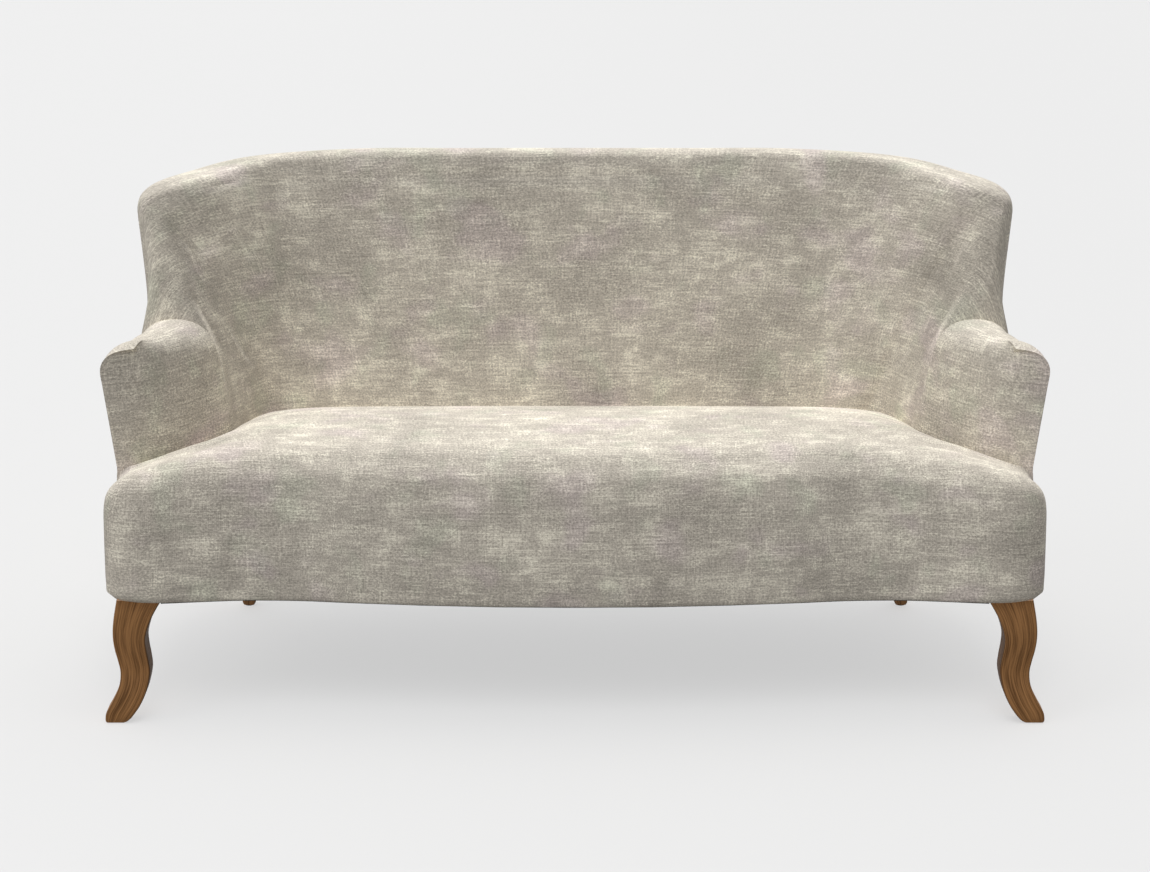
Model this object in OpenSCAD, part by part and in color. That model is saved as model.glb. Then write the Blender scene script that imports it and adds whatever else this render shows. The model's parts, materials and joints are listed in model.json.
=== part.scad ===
// Two to three seat sofa on cabriole legs: tight serpentine seat, low rolled arms, wrap-round winged back.
// Millimetres, +Z up, front towards -Y, origin on the floor at the middle of the sofa's box.
// The upholstery is a set of section curves ("stations") carried round the plan from the front of an arm
// to the middle of the back; every cover, pad and curved rail is read off the same stations.

/* [Overall] */
// Half the width across the arm fronts, at the tuck line
arm_half_w = 842; // [790:1:890]
// Height of the back at its middle
back_h = 940; // [900:1:990]
// Height of the arm at its front
arm_h = 672; // [650:1:695]
// Height of the seat at the middle of its front edge
seat_h = 495; // [480:1:510]
// Depth of the upholstered seat, from its top down to its lower edge
seat_box_h = 265; // [250:1:290]

/* [Plan] */
// From the seat's front line back to the arm fronts
arm_set = 155; // [140:1:175]
// From the arm fronts to the inside back, at the tuck line
inside_run = 380; // [360:1:410]
// How far the inside back leans back on the way up
back_lean = 123; // [105:1:135]
// From the top front edge of the back to its highest line
crest_in = 28; // [24:1:34]
// Thickness of the back at its top
back_top_t = 99; // [96:1:115]
// Thickness of the back at its lower edge
back_foot_t = 170; // [160:1:190]
// How far the arm rolls flare out over the tuck line
arm_flare = 34; // [26:1:42]
// How far the seat's front bows out in the middle
seat_bow = 29; // [15:1:36]
// How far the seat's ears stand out beside the arms
ear_out = 15; // [10:1:20]
// How far the ears fall below the middle of the seat
ear_drop = 95; // [75:1:105]

/* [Upholstery] */
// Size of the arm roll
arm_roll = 100; // [90:1:108]
// Height of the rounded front edge of the seat
seat_roll = 95; // [80:1:105]
// Swell of the inside back between tuck and top
back_crown = 9; // [4:1:12]
// Swell of the arm faces
arm_crown = 5; // [2:1:7]
// Swell of the seat top
seat_crown = 7; // [3:1:11]
// Thickness of a cover
cover_t = 2; // [1.5:0.1:2.5]
// Foam on the arms and wings
arm_foam_t = 22; // [18:1:24]
// Foam at the top of the back
back_foam_t = 34; // [28:1:36]
// Foam at the foot of the back
back_foam_foot_t = 56; // [46:1:60]
// Padding under the outside covers and down the seat front
outer_pad_t = 12; // [9:1:13]
// How far the tuck line lies below the middle of the seat
tuck_below = 55; // [48:1:62]
// How far the inside covers reach down past the tuck line
tuck_drop = 40; // [30:1:46]
// Thickness of the felt over the springs
felt_t = 3; // [2:0.5:4]
// Thickness of the dust cover
dust_t = 1.5; // [1:0.1:2]

/* [Frame] */
// Height of the seat rails
rail_h = 100; // [88:1:104]
// Thickness of the seat rails
rail_t = 28; // [24:1:30]
// Thickness of the back posts, side to side
post_t = 32; // [26:1:40]
// Depth of a back post at its foot
post_foot_d = 60; // [50:1:62]
// Depth of a back post at its top
post_top_d = 30; // [24:1:32]
// Width of the arm posts
arm_post_w = 26; // [22:1:28]
// Depth of the arm posts
arm_post_d = 46; // [40:1:52]
// Width of the arm rails
arm_rail_w = 28; // [22:1:32]
// Height of the arm rails
arm_rail_h = 24; // [20:1:28]
// Depth of the arm rails' tops below the arm's front height
arm_rail_drop = 44; // [40:1:50]
// Width of the wing posts
wing_post_w = 26; // [22:1:28]
// Depth of the wing posts
wing_post_d = 40; // [32:1:46]
// Run of the cut along the back outer corner of a wing post, where the outside padding passes
wing_post_cut = 26; // [22:1:30]
// Width of the top rail
top_rail_w = 26; // [22:1:28]
// Height of the top rail
top_rail_h = 36; // [28:1:44]
// Depth of the top rail's top below the crest
top_rail_drop = 54; // [50:1:60]
// Height of the tack rail at the foot of the inside back
tack_rail_h = 88; // [70:1:92]
// Height of the rail that carries the back ends of the springs
spring_rail_h = 78; // [60:1:84]
// Height of the stretchers under the seat
stretcher_h = 45; // [35:1:55]
// Height of the corner blocks
block_h = 45; // [36:1:52]
// Width of a back web
web_w = 55; // [45:1:65]
// Thickness of a back web
web_t = 3; // [2:0.5:4]
// Number of upright back webs
web_count = 5; // [3:1:6]

/* [Seat springs] */
// Number of zigzag springs
spring_count = 8; // [6:1:8]
// Rungs of each spring
rung_count = 11; // [9:2:13]
// Straight length of a rung
rung_length = 26; // [18:1:34]
// Diameter of the spring wire
wire_d = 3.6; // [3:0.2:4]
// Space between neighbouring springs, middle to middle
spring_pitch = 136; // [120:1:140]

/* [Legs] */
// Width of a front leg at its top
front_leg_w = 62; // [52:1:66]
// How far a front foot kicks out sideways from the top of its leg
front_kick = 43; // [34:1:46]
// Side of the square top of a rear leg
rear_leg_w = 46; // [38:1:50]
// How far the rear feet stand back from the tops of their legs
rear_rake = 76; // [60:1:80]
// Thickness of a glide under a foot
glide_h = 2; // [1.5:0.5:4]
// Radius of a glide
glide_r = 9; // [6:1:9]
// Diameter of the hanger bolt in a leg
bolt_d = 8; // [6:1:10]
// How deep the hanger bolt is screwed into its leg
bolt_bite = 40; // [30:1:46]

/* [Hidden] */
$fn = 48;
gap = 0.3;
overrun = 1;
nudge = 1 / 50;
hole_sides = 12;
far = 2 * arm_half_w;
tuck_gap = 4 * gap;
lean_run = inside_run + back_lean;
crest_run = lean_run + crest_in;
outer_top_run = lean_run + back_top_t;
outer_run = inside_run + back_foot_t;
mid_y = (arm_set + lean_run + 0.96 * back_top_t - seat_bow) / 2;
ear_half_w = arm_half_w + ear_out;
rail_z = seat_h - seat_box_h;
tuck_z = seat_h - tuck_below;
cover_low = tuck_z - tuck_drop;
rail_top = rail_z + rail_h;
skin = cover_t + gap;
lining = skin + outer_pad_t + gap;
bay = lining + rail_t;
clip_t = wire_d / 3;
clip_h = wire_d + 2 * gap + 2 * clip_t;
wire_z = rail_top + clip_h / 2;
felt_z = rail_top + clip_h + gap;
foam_z = felt_z + felt_t + gap;

// The wrap's outlines in plan, as shares: x of arm_half_w, y of the run named in station().
// One row a station, first the arm from its front corner to the wing, then the wing and the back.
arm_inner_shares = [[1, 0], [0.95, 0.045], [0.893, 0.132], [0.841, 0.282], [0.8, 0.421], [0.772, 0.561]];
arm_inner_top_shares = [[1, 0], [0.964, 0.038], [0.912, 0.103], [0.867, 0.213], [0.834, 0.32], [0.81, 0.419]];
arm_crest_shares = [[0.95, 0.024], [0.944, 0.094], [0.933, 0.169], [0.92, 0.254], [0.905, 0.333],
    [0.891, 0.409]];
arm_crest_rise_shares = [-0.037, -0.012, -0.03, -0.022, -0.018, -0.007];
arm_outer_top_shares = [[1, 0], [1, 0.083], [0.995, 0.161], [0.983, 0.238], [0.97, 0.307], [0.965, 0.374]];
arm_outer_shares = [[1, 0], [1, 0.091], [0.999, 0.182], [0.995, 0.273], [0.99, 0.355], [0.985, 0.431]];
arm_flare_shares = [0.89, 0.98, 0.8, 0.6, 0.45, 0.35];
arm_roll_shares = [[0.5, 0.5], [0.65, 0.8], [0.68, 0.95], [0.7, 0.92], [0.72, 0.85], [0.75, 0.7]];

wing_inner_shares = [[0.758, 0.661], [0.743, 0.75], [0.725, 0.845], [0.695, 0.926], [0.628, 0.971],
    [0.52, 0.987], [0.356, 0.995], [0.178, 1], [0, 1]];
wing_inner_top_shares = [[0.868, 0.487], [0.915, 0.545], [0.93, 0.605], [0.875, 0.668], [0.8, 0.8],
    [0.69, 0.955], [0.486, 0.995], [0.24, 0.999], [0, 1]];
wing_crest_shares = [[0.935, 0.458], [0.953, 0.518], [0.96, 0.585], [0.89, 0.655], [0.81, 0.79],
    [0.7, 0.945], [0.489, 0.992], [0.241, 0.998], [0, 1]];
wing_crest_rise_shares = [0.272, 0.608, 0.78, 0.877, 0.914, 0.968, 1, 1, 1];
wing_outer_top_shares = [[0.957, 0.415], [0.972, 0.473], [0.993, 0.548], [0.984, 0.653], [0.92, 0.802],
    [0.79, 0.919], [0.523, 0.985], [0.255, 0.997], [0, 1]];
wing_outer_shares = [[0.977, 0.482], [0.96, 0.536], [0.938, 0.6], [0.905, 0.709], [0.846, 0.845],
    [0.748, 0.947], [0.523, 0.987], [0.255, 0.998], [0, 1]];
wing_roll_shares = [[0.6, 0.4], [0.42, 0.32], [0.32, 0.3], [0.3, 0.32], [0.32, 0.36], [0.34, 0.38],
    [0.36, 0.4], [0.36, 0.4], [0.36, 0.4]];
// The power of the way up by which the inside of the wing and the back flares: 1 is straight
wing_bend_shares = [2.2, 2.2, 2, 1.7, 1.3, 1.1, 1, 1, 1];

// The seat's front line in plan, from the back of an ear to the middle: x of ear_half_w, y of arm_set,
// y of seat_bow, and the fall below the middle of the seat as a share of ear_drop.
seat_front_shares = [[0.99, 0.98, 0, 1], [0.998, 0.742, 0, 0.9], [1, 0.452, 0, 0.75],
    [0.986, 0.129, 0, 0.56], [0.947, 0, 0.07, 0.42], [0.893, 0, 0.276, 0.32], [0.805, 0, -0.07, 0.23],
    [0.7, 0, -0.414, 0.15], [0.583, 0, -0.345, 0.08], [0.467, 0, 0.1, 0.03], [0.327, 0, 0.55, 0.01],
    [0.163, 0, 0.9, 0], [0, 0, 1, 0]];
front_last = len(seat_front_shares) - 1;

// Where along the wrap each mesh column stands, and where on the seat's front line its partner is
arm_columns = [0, 0.2, 0.5, 0.8, 1.2, 1.6, 2.3, 3, 3.75, 4.5, 5];
back_columns = [0, 0.4, 0.8, 1.25, 1.75, 2.25, 2.75, 3.25, 3.75, 4.5, 5.25, 6, 7, 8, 9];
front_partners = [[0, 0], [0.2, 1.1], [0.5, 2], [0.8, 2.6], [1.2, 3.2], [1.6, 3.8], [2.3, 5], [3, 5.6],
    [3.75, 6.2], [4.5, 6.7], [5, 7], [8, 8], [11.2, 9], [12, 10], [13, 11], [14, 12]];
// How far the seat's edge lies above the tuck line along the wrap: place, share of tuck_below
seat_tuck_shares = [[0, -0.167], [0.5, 0.015], [1.5, 0.145], [3, 0.27], [14, 0.27]];
// Heights of the mesh rows, as shares of the way from the tuck line to the crest
row_shares = [0, 0.14, 0.28, 0.42, 0.55, 0.64, 0.73, 0.82, 0.91, 1];
pad_row_shares = [0, 0.28, 0.55, 0.7, 0.82, 0.93];
back_row_shares = [0, 0.28, 0.55, 0.7, 0.85, 1];
foam_row_shares = [0, 0.14, 0.28, 0.42, 0.55, 0.7, 0.85, 1];
line_share = 0.55;
// Rows of the seat: 0 to 1 up its front face, 1 to 2 round its edge, 2 to 3 over its top
seat_rows = [0, 0.5, 1, 1.25, 1.5, 1.75, 2, 2.25, 2.5, 2.75, 3];
seat_foam_rows = [0, 1, 1.25, 1.5, 1.75, 2, 2.5, 3];

// Front legs from top to foot: height of rail_z, sideways shift and forward shift of front_kick,
// width and depth of front_leg_w
front_leg_shares = [[1, -0.06, 0, 1.33, 1], [0.93, 0.09, 0.03, 1.22, 0.99], [0.85, 0.24, 0.08, 1.11, 0.98],
    [0.76, 0.36, 0.08, 1.02, 0.94], [0.67, 0.42, 0.03, 0.95, 0.91], [0.58, 0.38, -0.03, 0.93, 0.86],
    [0.49, 0.29, -0.08, 0.91, 0.81], [0.4, 0.22, -0.06, 0.88, 0.77], [0.31, 0.27, 0.08, 0.85, 0.74],
    [0.23, 0.41, 0.24, 0.87, 0.72], [0.15, 0.62, 0.36, 0.88, 0.72], [0.09, 0.82, 0.44, 0.86, 0.72],
    [0.045, 0.94, 0.46, 0.76, 0.7], [0.018, 1.02, 0.43, 0.64, 0.62]];
// The sole of a front foot: the same shifts, width and depth
front_sole_shares = [1.06, 0.42, 0.52, 0.5];
// Rear legs from top to foot: height of rail_z, shift of rear_rake, side of rear_leg_w
rear_leg_shares = [[1, 0, 1], [0.85, 0.04, 0.97], [0.65, 0.17, 0.9], [0.45, 0.38, 0.82], [0.25, 0.66, 0.74],
    [0.1, 0.9, 0.66], [0.035, 1, 0.58]];
corner_softness = 0.32;

// Places of the frame in plan
arm_y = arm_set - mid_y;
front_cut_x = 0.94 * arm_half_w;
back_cut_x = 0.7 * arm_half_w;
spring_rail_y = arm_y + 1.03 * inside_run;
tack_y = arm_y + inside_run + skin + back_foam_foot_t + web_t + 3 * gap;
front_leg_x = arm_half_w - 0.79 * front_leg_w;
front_leg_y = lining + front_leg_w / 2 - mid_y;
front_bolt_x = front_leg_x - front_leg_w / 9;
front_bolt_y = front_leg_y + front_leg_w / 5;
rear_leg_x = 0.75 * arm_half_w;
rear_leg_y = arm_y + inside_run + 0.455 * back_foot_t;
rear_bolt_x = rear_leg_x - rear_leg_w / 9;
rear_bolt_y = rear_leg_y - rear_leg_w / 7;
bolt_places = [[front_bolt_x, front_bolt_y], [rear_bolt_x, rear_bolt_y]];
plate_t = bolt_d * 0.35;
nut_h = bolt_d * 0.8;
plate_d = 3.4 * bolt_d;
rear_splay = 0.42;
screw_d = post_t / 6;
screw_l = 2 * rail_t;
stretcher_x = 0.31 * arm_half_w;

function mix(a, b, s) = a + (b - a) * s;
function unit_of(v) = norm(v) > 0 ? v / norm(v) : v;
function flat(lists) = [for (l = lists) each l];
function clamp(v, low, high) = max(low, min(high, v));
function turned(items) = [for (i = [len(items) - 1:-1:0]) items[i]];
function flipped(p) = [for (i = [0:len(p) - 1]) i == 0 ? -p[i] : p[i]];
function level(p, z) = [p[0], p[1], z];

// A smooth curve through equally spaced rows (Catmull-Rom), with straight run-outs at its ends
function curve(rows, s) =
    let (last = len(rows) - 1, c = clamp(s, 0, last), i = min(floor(c), last - 1), u = c - i)
    let (b = rows[i], d = rows[i + 1], a = i > 0 ? rows[i - 1] : 2 * b - d)
    let (e = i < last - 1 ? rows[i + 2] : 2 * d - b)
    (2 * b + (d - a) * u + (2 * a - 5 * b + 4 * d - e) * u * u + (3 * b - a - 3 * d + e) * u * u * u) / 2;

// Plan point from a pair of shares, on the run that starts at the arm fronts
function plan(pair, run) = [arm_half_w * pair[0], arm_y + run * pair[1]];

// One station: inner line at the tuck, inner top corner, crest, outer top corner, outer line, two rolls, bend
function station(inner, inner_top, crest, rise, outer_top, outer, flare, roll, bend) = flat([
    plan(inner, inside_run),
    plan(inner_top, lean_run) + [arm_flare * flare[0], 0],
    plan(crest, crest_run),
    [mix(arm_h, back_h, rise)],
    plan(outer_top, outer_top_run) + [arm_flare * flare[1], 0],
    plan(outer, outer_run),
    arm_roll * roll,
    [bend]
]);

arm_stations = [for (i = [0:len(arm_inner_shares) - 1])
    station(arm_inner_shares[i], arm_inner_top_shares[i], arm_crest_shares[i], arm_crest_rise_shares[i],
        arm_outer_top_shares[i], arm_outer_shares[i], [i == 0 ? arm_flare_shares[0] : 0, arm_flare_shares[i]],
        arm_roll_shares[i], 1)];
back_stations = concat([arm_stations[len(arm_stations) - 1]], [for (i = [0:len(wing_inner_shares) - 1])
    station(wing_inner_shares[i], wing_inner_top_shares[i], wing_crest_shares[i], wing_crest_rise_shares[i],
        wing_outer_top_shares[i], wing_outer_shares[i], [0, 0], wing_roll_shares[i], wing_bend_shares[i])]);
arm_last = len(arm_stations) - 1;
back_last = len(back_stations) - 1;
function is_arm(rows) = len(rows) == arm_last + 1;

// Parts of a station row
function inner_of(r) = [r[0], r[1]];
function inner_top_of(r) = [r[2], r[3]];
function crest_of(r) = [r[4], r[5], r[6]];
function outer_top_of(r) = [r[7], r[8]];
function outer_of(r) = [r[9], r[10]];

// A section curve: from the foot towards the top corner, then round that corner to the crest
function section(foot, corner, crest, roll, h, bend = 1) =
    let (rise = crest[2] - tuck_z, r = min(roll, 0.8 * rise), f = 1 - r / rise)
    let (u = clamp((h - line_share) / (1 - line_share), 0, 1), j = mix(foot, corner, f))
    let (aim = mix(foot, corner, f + bend * (1 - f)))
    let (q = (1 - u) * (1 - u) * j + 2 * u * (1 - u) * aim + u * u * [crest[0], crest[1]])
    h <= line_share
        ? level(mix(foot, corner, f * pow(h / line_share, bend)), tuck_z + rise * f * h / line_share)
        : level(q, tuck_z + rise * f + r * (1 - (1 - u) * (1 - u)));
function wrap_point(rows, s, h, inside) = let (r = curve(rows, s)) inside
    ? section(inner_of(r), inner_top_of(r), crest_of(r), r[11], h, r[13])
    : section(outer_of(r), outer_top_of(r), crest_of(r), r[12], h);

// Outward normal of the wrap; pieces that meet at an edge share one normal there
function side_normal(rows, s, h, inside) =
    let (last = len(rows) - 1, s0 = clamp(s, nudge, last - nudge), h0 = clamp(h, nudge, 1 - nudge))
    let (a = wrap_point(rows, s0 + nudge, h0, inside) - wrap_point(rows, s0 - nudge, h0, inside))
    let (b = wrap_point(rows, s0, h0 + nudge, inside) - wrap_point(rows, s0, h0 - nudge, inside))
    unit_of(inside ? cross(b, a) : cross(a, b));
function crest_normal(rows, s, h, inside) =
    let (edge = is_arm(rows) && s == 0 || h >= 1, n = side_normal(rows, s, h, inside))
    edge ? unit_of(n + side_normal(rows, s, h, !inside)) : n;
function wrap_normal(rows, s, h, inside) =
    let (n = crest_normal(rows, s, h, inside))
    is_arm(rows) && s == arm_last ? unit_of(n + crest_normal(back_stations, 0, h, inside))
        : !is_arm(rows) && s == 0 ? unit_of(n + crest_normal(arm_stations, arm_last, h, inside))
        : !is_arm(rows) && s == back_last ? unit_of([0, n[1], n[2]])
        : n;
function foot_normal(rows, s, inside) = let (n = wrap_normal(rows, s, 0, inside)) unit_of([n[0], n[1], 0]);

// Swell of an inside face: nothing at the tuck, the crest and the wing seam
function swell(rows, s, h) =
    let (up = sin(180 * clamp(h / 0.9, 0, 1)))
    is_arm(rows) ? arm_crown * sin(180 * s / arm_last) * up : back_crown * sin(90 * clamp(s / 4, 0, 1)) * up;

// A point at a depth under the wrap's surface, and the same straight below the tuck line
function sunk(rows, s, h, inside, depth) =
    wrap_point(rows, s, h, inside)
        + wrap_normal(rows, s, h, inside) * ((inside ? swell(rows, s, h) : 0) - depth);
function sunk_low(rows, s, z, inside, depth) =
    level(wrap_point(rows, s, 0, inside) - foot_normal(rows, s, inside) * depth, z);

// Foam depth under the inside covers, from the arms to the middle of the back
function foam_at(rows, s, deepest) = is_arm(rows) ? arm_foam_t
    : mix(arm_foam_t, deepest, clamp((s - 2) / 3, 0, 1));
// Station of the hollow behind the inside foam: foot, top corner, crest, roll, bend
function core_station(rows, s) =
    let (r = curve(rows, s), n = foot_normal(rows, s, true), n2 = [n[0], n[1]])
    let (foot_d = skin + foam_at(rows, s, back_foam_foot_t), top_d = skin + foam_at(rows, s, back_foam_t))
    [inner_of(r) - n2 * foot_d, inner_top_of(r) - n2 * top_d,
        crest_of(r) - wrap_normal(rows, s, 1, true) * top_d, max(r[11] - top_d, arm_roll / 10), r[13]];
function core_point(rows, s, h) = let (c = core_station(rows, s)) section(c[0], c[1], c[2], c[3], h, c[4]);
// A plan point on the lower part of the hollow's face at a height
function core_at(rows, s, z) =
    let (c = core_station(rows, s), rise = c[2][2] - tuck_z, f = 1 - c[3] / rise)
    mix(c[0], c[1], f * pow((z - tuck_z) / rise / f, c[4]));
// The same on the face of the outside padding
function pad_at(rows, s, z) = let (r = curve(rows, s), n = foot_normal(rows, s, false))
    mix(outer_of(r), outer_top_of(r), clamp((z - tuck_z) / (r[6] - tuck_z), 0, 1)) - [n[0], n[1]] * lining;

// Columns of a half, continued over the middle plane
function both_halves(cols) = concat(cols, [for (i = [len(cols) - 2:-1:0]) [for (p = cols[i]) flipped(p)]]);

// Grids of points: a list of columns, each running upwards
function inside_grid(rows, columns, shares, depth) = [for (s = columns) concat(
    [sunk_low(rows, s, cover_low, true, depth)],
    [for (h = shares) sunk(rows, s, h, true, depth)])];
function core_start(rows, s) = is_arm(rows) ? mix(0.9, arm_last, s / arm_last) : s;
function core_grid(rows, columns) = [for (s = columns) let (c = core_start(rows, s)) concat(
    [level(core_point(rows, c, 0), cover_low)],
    [for (h = foam_row_shares) core_point(rows, c, h)])];
function outside_grid(rows, columns, shares, depth) = [for (s = columns) concat(
    [sunk_low(rows, s, rail_z, false, depth)],
    [for (h = shares) sunk(rows, s, h, false, depth)])];

// A closed solid between two grids of the same size; hidden_side turns it inside out for the outer faces
module sheet(outer, inner, hidden_side = false) {
    n = len(outer);
    m = len(outer[0]);
    size = n * m;
    faces = concat(
        [for (i = [0:n - 2], j = [0:m - 2], k = [0:3])
            let (a = i * m + j, b = a + m)
            k == 0 ? [a, b, a + 1] : k == 1 ? [b, b + 1, a + 1]
                : k == 2 ? [size + a, size + a + 1, size + b] : [size + b, size + a + 1, size + b + 1]],
        [for (i = [0:n - 2], k = [0:3])
            let (a = i * m, b = a + m, c = a + m - 1, d = b + m - 1)
            k == 0 ? [a, size + a, b] : k == 1 ? [b, size + a, size + b]
                : k == 2 ? [c, d, size + c] : [d, size + d, size + c]],
        [for (j = [0:m - 2], k = [0:3])
            let (a = j, b = j + 1, c = (n - 1) * m + j, d = c + 1)
            k == 0 ? [a, b, size + a] : k == 1 ? [b, size + b, size + a]
                : k == 2 ? [c, size + c, d] : [d, size + c, size + d]]
    );
    polyhedron(concat(flat(outer), flat(inner)), [for (f = faces) hidden_side ? f : turned(f)]);
}

// A closed tube through rings of points
module tube(rings) {
    n = len(rings);
    m = len(rings[0]);
    polyhedron(
        flat(rings),
        concat(
            [for (i = [0:n - 2], j = [0:m - 1], k = [0, 1])
                let (a = i * m + j, b = i * m + (j + 1) % m)
                k == 0 ? [a, b, a + m] : [b, b + m, a + m]],
            [for (j = [1:m - 2]) [0, j + 1, j]],
            [for (j = [1:m - 2]) let (a = (n - 1) * m) [a, a + j, a + j + 1]]
        )
    );
}

// The seat's front line with its crest height, and its outward direction
function seat_front(s) = let (f = curve(seat_front_shares, s))
    [ear_half_w * f[0], arm_set * f[1] - seat_bow * f[2] - mid_y, seat_h - ear_drop * f[3]];
function seat_front_normal(s) =
    let (a = seat_front(clamp(s, nudge, front_last) - nudge))
    let (b = seat_front(min(s, front_last - nudge) + nudge))
    s >= front_last ? [0, -1] : unit_of([a[1] - b[1], b[0] - a[0]]);
// The seat's back line runs just inside the wrap's tuck line
function wrap_rows(w) = w < arm_last ? arm_stations : back_stations;
function wrap_place(w) = w < arm_last ? w : w - arm_last;
function tuck_line(w) =
    let (rows = wrap_rows(w), s = wrap_place(w), n = foot_normal(rows, s, true))
    inner_of(curve(rows, s)) + [n[0], n[1]] * tuck_gap;
seat_columns = concat(arm_columns, [for (i = [1:len(back_columns) - 1]) back_columns[i] + arm_last]);
function seat_point(w, v, depth) =
    let (s = lookup(w, front_partners), f = seat_front(s))
    let (front = [f[0], f[1]] - seat_front_normal(s) * depth)
    let (t = tuck_line(w), span = norm(t - front), dir = (t - front) / span, top = f[2] - depth)
    let (r = min(seat_roll, span / 2), q = front + dir * min(1.6 * seat_roll, 0.45 * span))
    let (u = clamp(v - 1, 0, 1), k = clamp(v - 2, 0, 1), edge = mix(front, q, u * u), back = mix(q, t, k))
    v <= 1 ? level(front, mix(rail_z, top - r, v))
        : v <= 2 ? level(edge, top - r * (1 - u) * (1 - u))
        : level(back, mix(top, tuck_z + tuck_below * lookup(w, seat_tuck_shares) - depth, k * k)
            + seat_crown * sin(180 * k) * span / (arm_set + inside_run));
function seat_grid(places, depth) = [for (w = seat_columns) [for (v = places) seat_point(w, v, depth)]];
// Underside of the seat foam: down behind the front padding, then flat over the felt
function seat_under(w, v) =
    let (p = seat_point(w, v, skin), f = seat_point(w, 0, skin + outer_pad_t), t = seat_point(w, 3, skin))
    v <= 1 ? level(f, mix(rail_z, foam_z, v)) : level(mix(f, t, (v - 1) / 2), foam_z);

// The seat frame's outline in plan at a distance inside the covers
function half_outline(d) = concat(
    [for (w = turned(seat_columns)) let (s = lookup(w, front_partners), f = seat_front(s))
        [f[0], f[1]] - seat_front_normal(s) * d],
    [for (s = arm_columns) if (s >= 0.5 && s < arm_last) let (p = sunk_low(arm_stations, s, 0, false, d))
        [p[0], p[1]]],
    [for (s = back_columns) let (p = sunk_low(back_stations, s, 0, false, d)) [p[0], p[1]]]);
function outline(d) = let (h = half_outline(d)) concat(h, [for (i = [len(h) - 2:-1:1]) flipped(h[i])]);
outer_outline = outline(lining);
inner_outline = outline(bay);
bay_outline = outline(bay + gap);

module band(low, high) translate([0, 0, low]) linear_extrude(high - low) difference() {
    polygon(outer_outline);
    polygon(inner_outline);
}

// A slab of the seat frame's bay
module bay_slab(low, high) translate([0, 0, low]) linear_extrude(high - low) polygon(bay_outline);

module box(low, high) translate(low) cube(high - low);

module both_sides() {
    children();
    mirror([1, 0, 0]) children();
}

module front_rail() color([0.78, 0.66, 0.46]) intersection() {
    band(rail_z, rail_top);
    box([-front_cut_x, -far, 0], [front_cut_x, arm_y, far]);
}

module side_rail() color([0.78, 0.66, 0.46]) intersection() {
    band(rail_z, rail_top);
    linear_extrude(far) polygon([[front_cut_x, -far], [far, -far], [far, far], [back_cut_x, far],
        [back_cut_x, arm_y], [front_cut_x, arm_y]]);
}

module back_rail() color([0.78, 0.66, 0.46]) intersection() {
    band(rail_z, rail_top);
    box([-back_cut_x, 0, 0], [back_cut_x, far, far]);
}

module spring_rail() color([0.78, 0.66, 0.46]) intersection() {
    bay_slab(rail_top - spring_rail_h, rail_top);
    box([-far, spring_rail_y, 0], [far, spring_rail_y + rail_t, far]);
}

module seat_stretchers() color([0.78, 0.66, 0.46]) both_sides() intersection() {
    bay_slab(rail_z, rail_z + stretcher_h);
    box([stretcher_x, -far, 0], [stretcher_x + rail_t, spring_rail_y - gap, far]);
}

module corner_blocks() color([0.82, 0.71, 0.52]) both_sides() difference() {
    intersection() {
        bay_slab(rail_z, rail_z + block_h);
        union() {
            box([front_bolt_x - plate_d, -far, 0], [far, front_bolt_y + plate_d, far]);
            box([rear_bolt_x - plate_d, spring_rail_y + rail_t + gap, 0], [far, far, far]);
        }
    }
    for (p = bolt_places) translate([p[0], p[1], rail_z - overrun])
        cylinder(d = bolt_d + 2 * gap, h = block_h + 2 * overrun, $fn = hole_sides);
}

module leg_plates() color([0.62, 0.63, 0.65]) both_sides() for (p = bolt_places)
    translate([p[0], p[1], rail_z + block_h]) difference() {
        cylinder(d = plate_d, h = plate_t, $fn = hole_sides);
        translate([0, 0, -overrun])
            cylinder(d = bolt_d + 2 * gap, h = plate_t + 2 * overrun, $fn = hole_sides);
    }

module leg_bolts() color([0.6, 0.61, 0.63]) both_sides() for (p = bolt_places) translate([p[0], p[1], 0]) {
    translate([0, 0, rail_z - bolt_bite])
        cylinder(d = bolt_d, h = bolt_bite + block_h + plate_t + 1.5 * nut_h, $fn = hole_sides);
    translate([0, 0, rail_z + block_h + plate_t]) cylinder(d = 1.8 * bolt_d, h = nut_h, $fn = 6);
}

// A soft-cornered rectangle of points about a middle, at a height
ring_turns = [for (i = [0:15]) i * 360 / 16 + 360 / 32];
function soft(v) = sign(v) * pow(abs(v), corner_softness);
function soft_ring(middle, w, d, z) = [for (a = ring_turns)
    [middle[0] + w / 2 * soft(cos(a)), middle[1] + d / 2 * soft(sin(a)), z]];

module front_leg() color([0.5, 0.36, 0.22]) difference() {
    tube(turned([for (r = concat(front_leg_shares, [concat([glide_h / rail_z], front_sole_shares)]))
        soft_ring([front_leg_x + front_kick * r[1],
            front_leg_y - front_leg_w / 2 * (1 - r[4]) - front_kick * r[2] ],
            front_leg_w * r[3], front_leg_w * r[4], rail_z * r[0])]));
    translate([front_bolt_x, front_bolt_y, rail_z - bolt_bite - overrun])
        cylinder(d = bolt_d + 2 * gap, h = bolt_bite + 2 * overrun, $fn = hole_sides);
}

module rear_leg() color([0.5, 0.36, 0.22]) difference() {
    tube(turned([for (r = concat(rear_leg_shares, [[glide_h / rail_z, 1.01, 0.46]]))
        soft_ring([rear_leg_x + rear_splay * rear_rake * r[1], rear_leg_y + rear_rake * r[1]],
            rear_leg_w * r[2], rear_leg_w * r[2], rail_z * r[0])]));
    translate([rear_bolt_x, rear_bolt_y, rail_z - bolt_bite - overrun])
        cylinder(d = bolt_d + 2 * gap, h = bolt_bite + 2 * overrun, $fn = hole_sides);
}

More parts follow.
